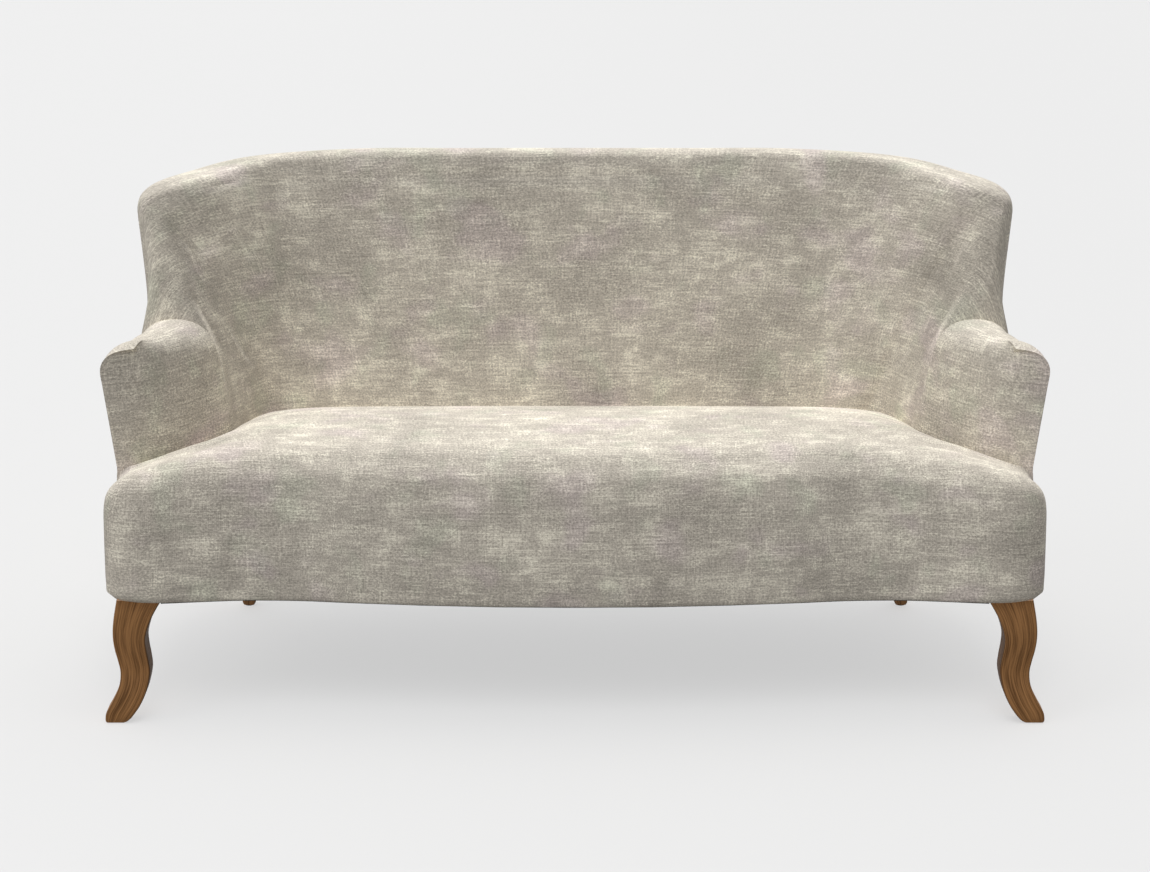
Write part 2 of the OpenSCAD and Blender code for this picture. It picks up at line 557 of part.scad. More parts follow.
module leg_glides() color([0.12, 0.12, 0.12]) both_sides() {
    translate([front_leg_x + front_sole_shares[0] * front_kick,
        front_leg_y - front_leg_w / 2 * (1 - front_sole_shares[3]) - front_kick * front_sole_shares[1], 0])
        cylinder(r = glide_r, h = glide_h);
    translate([rear_leg_x + rear_splay * rear_rake * 1.01, rear_leg_y + rear_rake * 1.01, 0])
        cylinder(r = glide_r, h = glide_h);
}

// Posts and rails of the arms and the back
arm_post_x = arm_half_w - lining - arm_post_w - 2 * gap;
arm_post_y = arm_y + 0.21 * inside_run;
arm_rail_top = arm_h - arm_rail_drop;
arm_rail_low = arm_rail_top - arm_rail_h;
wing_post_index = 2;
wing_post_middle = top_rail_middle(wing_post_index, top_rail_top(wing_post_index));
function top_rail_middle(s, z) = let (n = foot_normal(back_stations, s, true))
    core_at(back_stations, s, z) - [n[0], n[1]] * (web_t + 3 * gap + top_rail_w / 2);
function top_rail_top(s) = curve(back_stations, s)[6] - top_rail_drop;

module arm_post() color([0.78, 0.66, 0.46])
    box([arm_post_x, arm_post_y, rail_top], [arm_post_x + arm_post_w, arm_post_y + arm_post_d, arm_rail_low]);

arm_rail_places = [2, 2.5, 3, 3.75, 4.5, 5, 5.4, 5.8, 6.2];
function arm_rail_middle(w) = let (r = curve(wrap_rows(w), wrap_place(w)))
    mix(inner_top_of(r), outer_top_of(r), 0.5);
function arm_rail_across(w) = let (a = arm_rail_middle(w + nudge) - arm_rail_middle(w - nudge))
    unit_of([-a[1], a[0]]) * arm_rail_w / 2;

module arm_rail() color([0.78, 0.66, 0.46]) sheet(
    [for (w = arm_rail_places) let (p = arm_rail_middle(w) + arm_rail_across(w))
        [level(p, arm_rail_low), level(p, arm_rail_top)]],
    [for (w = arm_rail_places) let (p = arm_rail_middle(w) - arm_rail_across(w))
        [level(p, arm_rail_low), level(p, arm_rail_top)]]);

module wing_post() color([0.78, 0.66, 0.46]) {
    half = [wing_post_w / 2, wing_post_d / 2];
    translate([wing_post_middle[0], wing_post_middle[1], rail_top])
        linear_extrude(top_rail_top(wing_post_index) - top_rail_h - rail_top)
        polygon([[-half[0], -half[1]], [half[0], -half[1]], [half[0], half[1] - wing_post_cut],
            [half[0] - 0.55 * wing_post_cut, half[1]], [-half[0], half[1]]]);
}

top_rail_places = [1.8, 2, 2.5, 3, 3.5, 4, 4.5, 5, 5.5, 6, 7, 8, 9];
function top_rail_side(s, side) =
    let (z = top_rail_top(s), n = foot_normal(back_stations, s, true))
    let (p = top_rail_middle(s, z) + [n[0], n[1]] * side * top_rail_w / 2)
    [level(p, z - top_rail_h), level(p, z)];

module top_rail() color([0.78, 0.66, 0.46]) sheet(
    both_halves([for (s = top_rail_places) top_rail_side(s, 1)]),
    both_halves([for (s = top_rail_places) top_rail_side(s, -1)]));

// A back post stands on the back rail at a station and leans with the outside of the back
function post_back(s, z) = pad_at(back_stations, s, z)[1] - 2 * gap;
module back_post_at(s) {
    x = outer_of(curve(back_stations, s))[0];
    top = top_rail_top(s) - top_rail_h - gap;
    low = post_back(s, rail_top);
    high = post_back(s, top);
    difference() {
        translate([x - post_t / 2, 0, 0]) rotate([90, 0, 90]) linear_extrude(post_t) polygon([
            [tack_y + rail_t, rail_top], [low, rail_top], [low, tuck_z], [high, top],
            [high - post_top_d, top], [tack_y + rail_t, tuck_z]]);
        post_screws(x, gap);
    }
}

module back_posts() color([0.78, 0.66, 0.46]) both_sides() back_post_at(7);

module back_centre_post() color([0.78, 0.66, 0.46]) back_post_at(9);

// Two screws through the tack rail into a post
module post_screws(x, slack) for (z = [tuck_z - 0.75 * tack_rail_h, tuck_z - 0.25 * tack_rail_h])
    translate([x, tack_y, z]) rotate([-90, 0, 0])
        cylinder(d = screw_d + 2 * slack, h = screw_l + slack, $fn = hole_sides);

post_x = outer_of(curve(back_stations, 7))[0];

module tack_rail() color([0.78, 0.66, 0.46]) difference() {
    box([-0.6 * arm_half_w, tack_y, tuck_z - tack_rail_h - gap],
        [0.6 * arm_half_w, tack_y + rail_t, tuck_z - gap]);
    for (x = [-post_x, 0, post_x]) post_screws(x, gap);
}

module frame_screws() color([0.6, 0.61, 0.63]) for (x = [-post_x, 0, post_x]) post_screws(x, 0);

// Back webs: up the front of the tack rail, slanting to the top rail and up its front
top_rail_line = [for (s = turned(top_rail_places)) if (s >= 5) let (p = top_rail_side(s, 1)[0]) [p[0], p[1]]];
module back_webs() color([0.25, 0.24, 0.22]) {
    low = tack_y - gap / 3;
    z = top_rail_top(8);
    for (i = [0:web_count - 1]) let (x = (i - (web_count - 1) / 2) * 1.9 * web_w)
        let (high = lookup(abs(x) + web_w / 2, top_rail_line) - gap / 3)
        translate([x - web_w / 2, 0, 0]) rotate([90, 0, 90]) linear_extrude(web_w) polygon([
            [low - web_t, cover_low], [low, cover_low], [low, tuck_z], [high, z - top_rail_h], [high, z],
            [high - web_t, z], [high - web_t, z - top_rail_h], [low - web_t, tuck_z]]);
}

// Seat springs: rungs joined by half turns, on clips that stand on the front rail and the spring rail
spring_xs = [for (i = [0:spring_count - 1]) (i - (spring_count - 1) / 2) * spring_pitch];
front_line = [for (s = [front_last:-1:3]) let (f = seat_front(s)) [f[0], f[1]]];
function spring_start(x) = lookup(abs(x), front_line) + lining + 0.55 * rail_t;
spring_end = spring_rail_y + rail_t / 2;
function spring_path(x) =
    let (y = spring_start(x), pitch = (spring_end - y) / (rung_count - 1), half = rung_length / 2)
    flat([for (i = [0:rung_count - 1]) let (side = i % 2 == 0 ? 1 : -1) concat(
        [[x - side * half, y + i * pitch], [x + side * half, y + i * pitch]],
        i == rung_count - 1 ? [] : [for (a = [-30, 30])
            [x + side * (half + pitch / 2 * cos(a)), y + (i + 0.5) * pitch + pitch / 2 * sin(a)]])]);
function wire_rings(path) = [for (i = [0:len(path) - 1])
    let (a = path[max(i - 1, 0)], b = path[min(i + 1, len(path) - 1)], t = unit_of(b - a))
    [for (k = [0:4]) let (c = 72 * k + 90)
        [path[i][0] - t[1] * wire_d / 2 * cos(c), path[i][1] + t[0] * wire_d / 2 * cos(c),
            wire_z + wire_d / 2 * sin(c)]]];

module seat_springs() color([0.55, 0.56, 0.58]) for (x = spring_xs) tube(wire_rings(spring_path(x)));

module spring_clips() color([0.6, 0.61, 0.63]) for (x = spring_xs, y = [spring_start(x), spring_end])
    translate([x, y, rail_top]) difference() {
        translate([-rung_length / 4, -wire_d, 0]) cube([rung_length / 2, 2 * wire_d, clip_h]);
        translate([-rung_length / 2, -wire_d / 2 - gap, clip_t])
            cube([rung_length, wire_d + 2 * gap, wire_d + 2 * gap]);
    }

module spring_felt() color([0.45, 0.44, 0.42]) translate([0, 0, felt_z]) linear_extrude(felt_t)
    polygon(let (half = concat(
        [for (w = turned(seat_columns)) if (w >= 0.5) let (s = lookup(w, front_partners), f = seat_front(s))
            [f[0], f[1]] - seat_front_normal(s) * (lining + rail_t / 4)],
        [for (w = seat_columns) if (w >= 1.2) tuck_line(w) - [0, rail_t / 4]]))
        concat(half, [for (i = [len(half) - 2:-1:1]) flipped(half[i])]));

front_cut_leg_x = front_leg_x + front_kick * front_leg_shares[0][1]
    - front_leg_w * front_leg_shares[0][3] / 2 - gap;
front_cut_leg_y = front_leg_y + front_leg_w / 2 + gap;
module leg_hole(middle, side) polygon([for (p = soft_ring(middle, side, side, 0)) [p[0], p[1]]]);

module dust_cover() color([0.1, 0.1, 0.1]) translate([0, 0, rail_z - dust_t]) linear_extrude(dust_t)
    difference() {
        polygon(outline(lining / 2));
        for (side = [-1, 1]) {
            leg_hole([side * rear_leg_x, rear_leg_y], rear_leg_w + 2 * gap);
            scale([side, 1]) polygon([[front_cut_leg_x, -far], [far, -far], [far, front_cut_leg_y],
                [front_cut_leg_x, front_cut_leg_y]]);
        }
    }

// Soft pieces
module seat_foam() color([0.93, 0.88, 0.62])
    sheet(both_halves(seat_grid(seat_foam_rows, skin)),
        both_halves([for (w = seat_columns) [for (v = seat_foam_rows) seat_under(w, v)]]));

module seat_cover() color([0.66, 0.63, 0.57])
    sheet(both_halves(seat_grid(seat_rows, 0)), both_halves(seat_grid(seat_rows, cover_t)));

module back_foam() color([0.93, 0.88, 0.62])
    sheet(both_halves(inside_grid(back_stations, back_columns, foam_row_shares, skin)),
        both_halves(core_grid(back_stations, back_columns)));

module inside_back_cover() color([0.66, 0.63, 0.57])
    sheet(both_halves(inside_grid(back_stations, back_columns, row_shares, 0)),
        both_halves(inside_grid(back_stations, back_columns, row_shares, cover_t)));

module arm_foam() color([0.93, 0.88, 0.62])
    sheet(inside_grid(arm_stations, arm_columns, foam_row_shares, skin),
        core_grid(arm_stations, arm_columns));

module inside_arm_cover() color([0.66, 0.63, 0.57])
    sheet(inside_grid(arm_stations, arm_columns, row_shares, 0),
        inside_grid(arm_stations, arm_columns, row_shares, cover_t));

arm_pad_columns = concat([for (s = arm_columns) if (s >= 0.5 && s < arm_last) s], [arm_last - nudge / 2]);
outer_back_columns = concat([nudge / 2], [for (s = back_columns) if (s > 0) s]);

module arm_outer_pad() color([0.9, 0.88, 0.82])
    sheet(outside_grid(arm_stations, arm_pad_columns, pad_row_shares, skin),
        outside_grid(arm_stations, arm_pad_columns, pad_row_shares, skin + outer_pad_t), true);

module outside_arm_cover() color([0.62, 0.59, 0.53])
    sheet(outside_grid(arm_stations, arm_columns, row_shares, 0),
        outside_grid(arm_stations, arm_columns, row_shares, cover_t), true);

module back_outer_pad() color([0.9, 0.88, 0.82])
    sheet(both_halves(outside_grid(back_stations, outer_back_columns, pad_row_shares, skin)),
        both_halves(outside_grid(back_stations, outer_back_columns, pad_row_shares, skin + outer_pad_t)),
        true);

module outside_back_cover() color([0.62, 0.59, 0.53])
    sheet(both_halves(outside_grid(back_stations, outer_back_columns, back_row_shares, 0)),
        both_halves(outside_grid(back_stations, outer_back_columns, back_row_shares, cover_t)), true);

module left() mirror([1, 0, 0]) children();

front_rail();
left() side_rail();  // side_rail_left
side_rail();  // side_rail_right
back_rail();
spring_rail();
seat_stretchers();
corner_blocks();
left() arm_post();  // arm_post_left
arm_post();  // arm_post_right
left() arm_rail();  // arm_rail_left
arm_rail();  // arm_rail_right
left() wing_post();  // wing_post_left
wing_post();  // wing_post_right
back_posts();
back_centre_post();
top_rail();
tack_rail();
frame_screws();
back_webs();
seat_springs();
spring_clips();
spring_felt();
seat_foam();
seat_cover();
back_foam();
inside_back_cover();
left() arm_foam();  // arm_foam_left
arm_foam();  // arm_foam_right
left() inside_arm_cover();  // inside_arm_cover_left
inside_arm_cover();  // inside_arm_cover_right
left() arm_outer_pad();  // arm_outer_pad_left
arm_outer_pad();  // arm_outer_pad_right
left() outside_arm_cover();  // outside_arm_cover_left
outside_arm_cover();  // outside_arm_cover_right
back_outer_pad();
outside_back_cover();
dust_cover();
left() front_leg();  // front_leg_left
front_leg();  // front_leg_right
left() rear_leg();  // rear_leg_left
rear_leg();  // rear_leg_right
leg_bolts();
leg_plates();
leg_glides();
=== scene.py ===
"""Cabriole sofa: its upholstery, legs, cloth, wood and studio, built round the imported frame.

Everything is in metres in the frame's own axes: +X to the viewer's right, +Y to the back, +Z up, floor at
z = 0. Pieces made for one half of the sofa are mirrored or continued over the middle plane x = 0.
"""

import json
import math
from functools import partial

import bpy
import numpy as np
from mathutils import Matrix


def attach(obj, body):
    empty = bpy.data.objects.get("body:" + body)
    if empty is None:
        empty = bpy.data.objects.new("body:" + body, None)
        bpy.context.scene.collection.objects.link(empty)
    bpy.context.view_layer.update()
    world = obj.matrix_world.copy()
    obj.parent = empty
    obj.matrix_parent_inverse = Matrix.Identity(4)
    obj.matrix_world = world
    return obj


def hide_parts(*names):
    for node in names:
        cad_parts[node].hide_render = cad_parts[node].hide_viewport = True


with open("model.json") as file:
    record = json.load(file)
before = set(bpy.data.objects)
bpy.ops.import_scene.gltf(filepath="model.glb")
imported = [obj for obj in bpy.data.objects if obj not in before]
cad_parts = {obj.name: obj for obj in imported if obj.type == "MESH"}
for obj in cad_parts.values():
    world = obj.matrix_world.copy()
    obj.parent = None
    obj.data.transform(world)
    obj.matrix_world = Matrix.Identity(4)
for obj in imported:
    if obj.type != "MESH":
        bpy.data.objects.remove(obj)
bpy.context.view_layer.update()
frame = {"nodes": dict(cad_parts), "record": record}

# ---------------- sizes of the sofa
# Half the width over the arms, and heights over the floor
ARM_HALF = 0.842
BACK_TOP = 0.940
ARM_TOP = 0.672
SEAT_TOP = 0.495
HEM = 0.230
# Runs from front to back: arms behind the seat's front, inside of the back behind the arms' fronts, lean of
# the back's top, its crest and outer corner behind that, and thickness of the back at its foot
ARM_SET = 0.155
INSIDE_RUN = 0.380
LEAN = 0.123
CREST_BEHIND = 0.028
CORNER_BEHIND = 0.099
BACK_FOOT = 0.170
LEAN_RUN = INSIDE_RUN + LEAN
CREST_RUN = LEAN_RUN + CREST_BEHIND
OUTER_TOP_RUN = LEAN_RUN + CORNER_BEHIND
OUTER_RUN = INSIDE_RUN + BACK_FOOT
# Flare of the arm's front, bow of the seat's front, and its ears past the arms and below the crown
ARM_FLARE = 0.034
SEAT_BOW = 0.029
EAR_OUT = 0.015
EAR_HALF = ARM_HALF + EAR_OUT
EAR_DROP = 0.095
# Heights of the rolls, how many of them the seat's edge reaches in, and the most of the seat that it takes
ARM_ROLL = 0.100
SEAT_ROLL = 0.095
LEAST_ROLL = 0.010
EDGE_REACH = 1.6
EDGE_SHARE = 0.45
# Swell of the soft faces, then thickness of cover, foam and padding
SEAT_SWELL = 0.007
BACK_SWELL = 0.009
ARM_SWELL = 0.005
COVER = 0.002
ARM_FOAM = 0.022
BACK_FOAM = 0.034
BACK_FOAM_FOOT = 0.056
OUTER_PAD = 0.012
# Height of the tuck, how far it is below the seat's crown, and how far the covers go on below it
TUCK = 0.440
TUCK_BELOW = 0.055
TUCK_DROP = 0.040
# Gap under a cover, its depth with the cover, and height of the underside of the seat's foam
CLEAR = 0.0003
SKIN = COVER + CLEAR
FOAM_LOW = 0.3401
# Middle of the sofa from front to back, which is y = 0; the rolled back ends at a share of its corner's run
CORNER_SHARE = 0.96
MIDDLE = (ARM_SET + LEAN_RUN + CORNER_SHARE * CORNER_BEHIND - SEAT_BOW) / 2
ARM_FRONT = ARM_SET - MIDDLE
# Height share of a section at which its line ends and its roll starts, and the most that a roll takes of it
LINE = 0.55
ROLL_SHARE = 0.8

# ---------------- outlines of the wrap, station by station
# Plan points are shares: x of the half width and y of the run behind the arms' fronts. Rises are shares of
# the way from arm to back, flares of the arm's flare, and rolls of its roll, inside and outside.
ARM_INNER = [(1, 0), (0.95, 0.045), (0.893, 0.132), (0.841, 0.282), (0.8, 0.421), (0.772, 0.561)]
ARM_INNER_TOP = [(1, 0), (0.964, 0.038), (0.912, 0.103), (0.867, 0.213), (0.834, 0.32), (0.81, 0.419)]
ARM_CREST = [(0.95, 0.024), (0.944, 0.094), (0.933, 0.169), (0.92, 0.254), (0.905, 0.333), (0.891, 0.409)]
ARM_RISE = [-0.037, -0.012, -0.03, -0.022, -0.018, -0.007]
ARM_OUTER_TOP = [(1, 0), (1, 0.083), (0.995, 0.161), (0.983, 0.238), (0.97, 0.307), (0.965, 0.374)]
ARM_OUTER = [(1, 0), (1, 0.091), (0.999, 0.182), (0.995, 0.273), (0.99, 0.355), (0.985, 0.431)]
ARM_FLARES = [0.89, 0.98, 0.8, 0.6, 0.45, 0.35]
ARM_ROLLS = [(0.5, 0.5), (0.65, 0.8), (0.68, 0.95), (0.7, 0.92), (0.72, 0.85), (0.75, 0.7)]
WING_INNER = [(0.758, 0.661), (0.743, 0.75), (0.725, 0.845), (0.695, 0.926), (0.628, 0.971), (0.52, 0.987),
              (0.356, 0.995), (0.178, 1), (0, 1)]
WING_INNER_TOP = [(0.868, 0.487), (0.915, 0.545), (0.93, 0.605), (0.875, 0.668), (0.8, 0.8),
                  (0.69, 0.955), (0.486, 0.995), (0.24, 0.999), (0, 1)]
WING_CREST = [(0.935, 0.458), (0.953, 0.518), (0.96, 0.585), (0.89, 0.655), (0.81, 0.79), (0.7, 0.945),
              (0.489, 0.992), (0.241, 0.998), (0, 1)]
WING_RISE = [0.272, 0.608, 0.78, 0.877, 0.914, 0.968, 1, 1, 1]
WING_OUTER_TOP = [(0.957, 0.415), (0.972, 0.473), (0.993, 0.548), (0.984, 0.653), (0.92, 0.802),
                  (0.79, 0.919), (0.523, 0.985), (0.255, 0.997), (0, 1)]
WING_OUTER = [(0.977, 0.482), (0.96, 0.536), (0.938, 0.6), (0.905, 0.709), (0.846, 0.845), (0.748, 0.947),
              (0.523, 0.987), (0.255, 0.998), (0, 1)]
WING_ROLLS = [(0.6, 0.4), (0.42, 0.32), (0.32, 0.3), (0.3, 0.32), (0.32, 0.36), (0.34, 0.38), (0.36, 0.4),
              (0.36, 0.4), (0.36, 0.4)]
ARM_BENDS = [1, 1, 1, 1, 1.1, 1.25]
WING_BENDS = [1.6, 1.95, 1.95, 1.7, 1.3, 1.1, 1, 1, 1]
# Front of the seat from ear to middle: x, set of the arms, bow and drop of the ear. Then, for places along
# arm and back, how far over the tuck the seat meets them, in shares of TUCK_BELOW, and which place of the
# front faces them.
SEAT_FRONT = [(0.99, 1, 0, 1), (0.998, 0.742, 0, 0.9), (1, 0.452, 0, 0.75), (0.986, 0.129, 0, 0.56),
              (0.947, 0, 0.07, 0.42), (0.893, 0, 0.276, 0.32), (0.805, 0, -0.07, 0.23),
              (0.7, 0, -0.414, 0.15), (0.583, 0, -0.345, 0.08), (0.467, 0, 0.1, 0.03),
              (0.327, 0, 0.55, 0.01), (0.163, 0, 0.9, 0), (0, 0, 1, 0)]
SEAT_TUCK = ([0, 0.5, 1.5, 3, 14], [-0.167, 0.015, 0.145, 0.27, 0.27])
SEAT_PARTNERS = ([0, 0.2, 0.5, 0.8, 1.2, 1.6, 2.3, 3, 3.75, 4.5, 5, 8, 11.2, 12, 13, 14],
                 [0, 1.1, 2, 2.6, 3.2, 3.8, 5, 5.6, 6.2, 6.7, 7, 8, 9, 10, 11, 12])
# Legs from top to foot: height, then shift sideways and forward, half width and half depth; the rear ones
# have one shift and one width
FRONT_LEG = [(1, -0.06, 0, 1.33, 1), (0.93, 0.09, 0.03, 1.22, 0.99), (0.85, 0.24, 0.08, 1.11, 0.98),
             (0.76, 0.36, 0.08, 1.02, 0.94), (0.67, 0.42, 0.03, 0.95, 0.91), (0.58, 0.38, -0.03, 0.93, 0.86),
             (0.49, 0.29, -0.08, 0.91, 0.81), (0.4, 0.22, -0.06, 0.88, 0.77), (0.31, 0.27, 0.08, 0.85, 0.74),
             (0.23, 0.41, 0.24, 0.87, 0.72), (0.15, 0.62, 0.36, 0.88, 0.72), (0.09, 0.82, 0.44, 0.86, 0.72),
             (0.045, 0.94, 0.46, 0.76, 0.7), (0.018, 1.02, 0.43, 0.64, 0.62), (0.0087, 1.06, 0.42, 0.52, 0.5)]
REAR_LEG = [(1, 0, 1), (0.85, 0.04, 0.97), (0.65, 0.17, 0.9), (0.45, 0.38, 0.82), (0.25, 0.66, 0.74),
            (0.1, 0.9, 0.66), (0.035, 1, 0.58), (0.0087, 1.01, 0.46)]


def plan(pairs, run):
    """Plan points from shares: x of the arm half width, y of a run behind the arm fronts."""
    pairs = np.asarray(pairs, float)
    return np.stack([ARM_HALF * pairs[:, 0], ARM_FRONT + run * pairs[:, 1]], 1)


def station_rows(inner, inner_top, crest, rise, outer_top, outer, flares, rolls, bends):
    """One row a station: inner foot, inner top corner, crest x y z, outer top corner, outer foot, two rolls
    and the power by which the inside face flares on its way up."""
    flare = np.zeros((len(rise), 2))
    flare[:, 0] = ARM_FLARE * np.asarray(flares, float)
    first = flare * (np.arange(len(rise)) == 0)[:, None]
    height = ARM_TOP + (BACK_TOP - ARM_TOP) * np.asarray(rise, float)
    return np.hstack([plan(inner, INSIDE_RUN), plan(inner_top, LEAN_RUN) + first, plan(crest, CREST_RUN),
                      height[:, None], plan(outer_top, OUTER_TOP_RUN) + flare, plan(outer, OUTER_RUN),
                      ARM_ROLL * np.asarray(rolls, float), np.asarray(bends, float)[:, None]])


ARM_ROWS = station_rows(ARM_INNER, ARM_INNER_TOP, ARM_CREST, ARM_RISE, ARM_OUTER_TOP, ARM_OUTER, ARM_FLARES,
                        ARM_ROLLS, ARM_BENDS)
WING_ROWS = station_rows(WING_INNER, WING_INNER_TOP, WING_CREST, WING_RISE, WING_OUTER_TOP, WING_OUTER,
                         [0] * len(WING_RISE), WING_ROLLS, WING_BENDS)
BACK_ROWS = np.vstack([ARM_ROWS[-1:], WING_ROWS])
SEAT_ROWS = np.asarray(SEAT_FRONT, float)
ARM_LAST = len(ARM_ROWS) - 1
BACK_LAST = len(BACK_ROWS) - 1
FRONT_LAST = len(SEAT_ROWS) - 1


def smooth(rows, s):
    """Smooth curve through equally spaced rows at s: the Catmull-Rom cubic of the four rows round s."""
    rows = np.asarray(rows, float)
    run = np.vstack([2 * rows[0] - rows[1], rows, 2 * rows[-1] - rows[-2]])
    s = np.clip(s, 0, len(rows) - 1)
    i = np.minimum(s.astype(int), len(rows) - 2)
    u = (s - i)[..., None]
    a, b, c, d = run[i], run[i + 1], run[i + 2], run[i + 3]
    return (2 * b + (c - a) * u + (2 * a - 5 * b + 4 * c - d) * u ** 2 + (3 * b - a - 3 * c + d) * u ** 3) / 2


def unit(v):
    """Vectors divided by their own length."""
    return v / np.maximum(np.linalg.norm(v, axis=-1, keepdims=True), 1e-12)


def section(foot, corner, crest, roll, h, bend=1.0):
    """Section curve at height share h: a line from the foot towards the top corner, straight where the power
    bend is 1, then a quadratic curve round that corner to the crest."""
    rise = crest[..., 2] - TUCK
    r = np.minimum(roll, ROLL_SHARE * rise)
    f = 1 - r / rise
    u = np.clip((h - LINE) / (1 - LINE), 0, 1)[..., None]
    g = np.clip(h, 0, LINE) / LINE
    joint = foot + (corner - foot) * f[..., None]
    aim = foot + (corner - foot) * (f + bend * (1 - f))[..., None]
    line = foot + (corner - foot) * (f * g ** bend)[..., None]
    turn = (1 - u) ** 2 * joint + 2 * u * (1 - u) * aim + u ** 2 * crest[..., :2]
    flat = np.where((h <= LINE)[..., None], line, turn)
    u = u[..., 0]
    z = np.where(h <= LINE, TUCK + rise * f * g, TUCK + rise * f + r * (1 - (1 - u) ** 2))
    return np.concatenate([flat, z[..., None]], -1)


def inside_point(rows, s, h):
    """Point of the wrap's inside face at station s and height share h."""
    r = smooth(rows, s)
    return section(r[..., 0:2], r[..., 2:4], r[..., 4:7], r[..., 11], h, r[..., 13])


def outside_point(rows, s, h):
    """Point of the wrap's outside face at station s and height share h; a negative h goes straight down."""
    r = smooth(rows, s)
    p = section(r[..., 9:11], r[..., 7:9], r[..., 4:7], r[..., 12], np.maximum(h, 0))
    p[..., 2] += np.minimum(h, 0) * (TUCK - HEM)
    return p


def over_point(rows, s, t):
    """Point of a cover that runs up the inside (t from 0 to 1) and on over the crest down the outside."""
    return np.where((t <= 1)[..., None], inside_point(rows, s, np.clip(t, 0, 1)),
                    outside_point(rows, s, np.clip(2 - t, 0, 1)))


def facing(shape, s, t, last, top, side):
    """Outward direction of a surface: the cross product of its two differences, kept inside its range."""
    e = 0.02
    s0, t0 = np.clip(s, e, last - e), np.clip(t, top[0] + e, top[1] - e)
    a = shape(s0 + e, t0) - shape(s0 - e, t0)
    b = shape(s0, t0 + e) - shape(s0, t0 - e)
    return unit(np.cross(b, a) * side)


def foot_facing(rows, s, inside):
    """Level outward direction at the foot of the wrap."""
    shape = inside_point if inside else outside_point
    side = 1 if inside else -1
    n = facing(lambda a, b: shape(rows, a, b), s, np.zeros_like(s), len(rows) - 1, (0, 1), side)
    n[..., 2] = 0
    if len(rows) - 1 == BACK_LAST:
        n[..., 0] = np.where(s >= BACK_LAST, 0, n[..., 0])
    return unit(n)


def hollow_point(rows, s, t):
    """Point of the hollow behind a cover that runs over the crest: the inside face set back by the foam,
    which thickens from the back's station 2 to its station 5, then the outside face set in by its padding."""
    share = np.clip((s - 2) / 3, 0, 1) if len(rows) - 1 == BACK_LAST else np.zeros_like(s)
    foot = (SKIN + ARM_FOAM + (BACK_FOAM_FOOT - ARM_FOAM) * share)[..., None]
    top = (SKIN + ARM_FOAM + (BACK_FOAM - ARM_FOAM) * share)[..., None]
    r = smooth(rows, s)
    n = foot_facing(rows, s, True)[..., :2]
    m = foot_facing(rows, s, False)[..., :2]
    crest = r[..., 4:7].copy()
    crest[..., 2] -= top[..., 0]
    roll = np.maximum(r[..., 11] - top[..., 0], LEAST_ROLL)
    inner = section(r[..., 0:2] - n * foot, r[..., 2:4] - n * top, crest, roll, np.clip(t, 0, 1), r[..., 13])
    pad = SKIN + OUTER_PAD
    outer = section(r[..., 9:11] - m * pad, r[..., 7:9] - m * pad, crest,
                    np.maximum(r[..., 12] - pad, LEAST_ROLL), np.clip(2 - t, 0, 1))
    return np.where((t <= 1)[..., None], inner, outer)


def seat_front(s):
    """Front line of the seat at s: x, y and the height of the crest over it."""
    f = smooth(SEAT_ROWS, s)
    return np.stack([EAR_HALF * f[..., 0], ARM_SET * f[..., 1] - SEAT_BOW * f[..., 2] - MIDDLE,
                     SEAT_TOP - EAR_DROP * f[..., 3]], -1)


def seat_front_facing(s):
    """Level outward direction of the seat's front line."""
    e = 0.02
    a, b = seat_front(np.clip(s, e, FRONT_LAST) - e), seat_front(np.minimum(s, FRONT_LAST - e) + e)
    n = unit(np.stack([a[..., 1] - b[..., 1], b[..., 0] - a[..., 0]], -1))
    return np.where((s >= FRONT_LAST)[..., None], np.array([0.0, -1.0]), n)


def tuck_line(w):
    """Plan point where the seat meets the wrap, at place w along arm and back."""
    arm, back = np.minimum(w, ARM_LAST), np.maximum(w - ARM_LAST, 0)
    off = 2 * CLEAR
    a = smooth(ARM_ROWS, arm)[..., 0:2] + foot_facing(ARM_ROWS, arm, True)[..., :2] * off
    b = smooth(BACK_ROWS, back)[..., 0:2] + foot_facing(BACK_ROWS, back, True)[..., :2] * off
    return np.where((w < ARM_LAST)[..., None], a, b)


def seat_point(w, v, depth=0.0):
    """Point of the seat at place w and row v, set in by depth: 0 to 1 up the front face, 1 to 2 round its
    edge, 2 to 3 over the top to the tuck, where the height follows a square law plus half a sine of swell."""
    s = np.interp(w, *SEAT_PARTNERS)
    f, n = seat_front(s), seat_front_facing(s)
    front = f[..., :2] - n * depth
    t = tuck_line(w)
    span = np.linalg.norm(t - front, axis=-1)
    aim = (t - front) / span[..., None]
    top = f[..., 2] - depth
    r = np.minimum(SEAT_ROLL, span / 2)
    q = front + aim * np.minimum(EDGE_REACH * SEAT_ROLL, EDGE_SHARE * span)[..., None]
    u, k = np.clip(v - 1, 0, 1), np.clip(v - 2, 0, 1)
    level = np.where((v <= 1)[..., None], front,
                     np.where((v <= 2)[..., None], front + (q - front) * (u ** 2)[..., None],
                              q + (t - q) * k[..., None]))
    face = HEM + (top - r - HEM) * np.clip(v, 0, 1)
    edge = top - r * (1 - u) ** 2
    tuck = TUCK + TUCK_BELOW * np.interp(w, *SEAT_TUCK)
    over = (top + (tuck - depth - top) * k ** 2
            + SEAT_SWELL * np.sin(np.pi * k) * span / (ARM_SET + INSIDE_RUN))
    return np.concatenate([level, np.where(v <= 1, face, np.where(v <= 2, edge, over))[..., None]], -1)


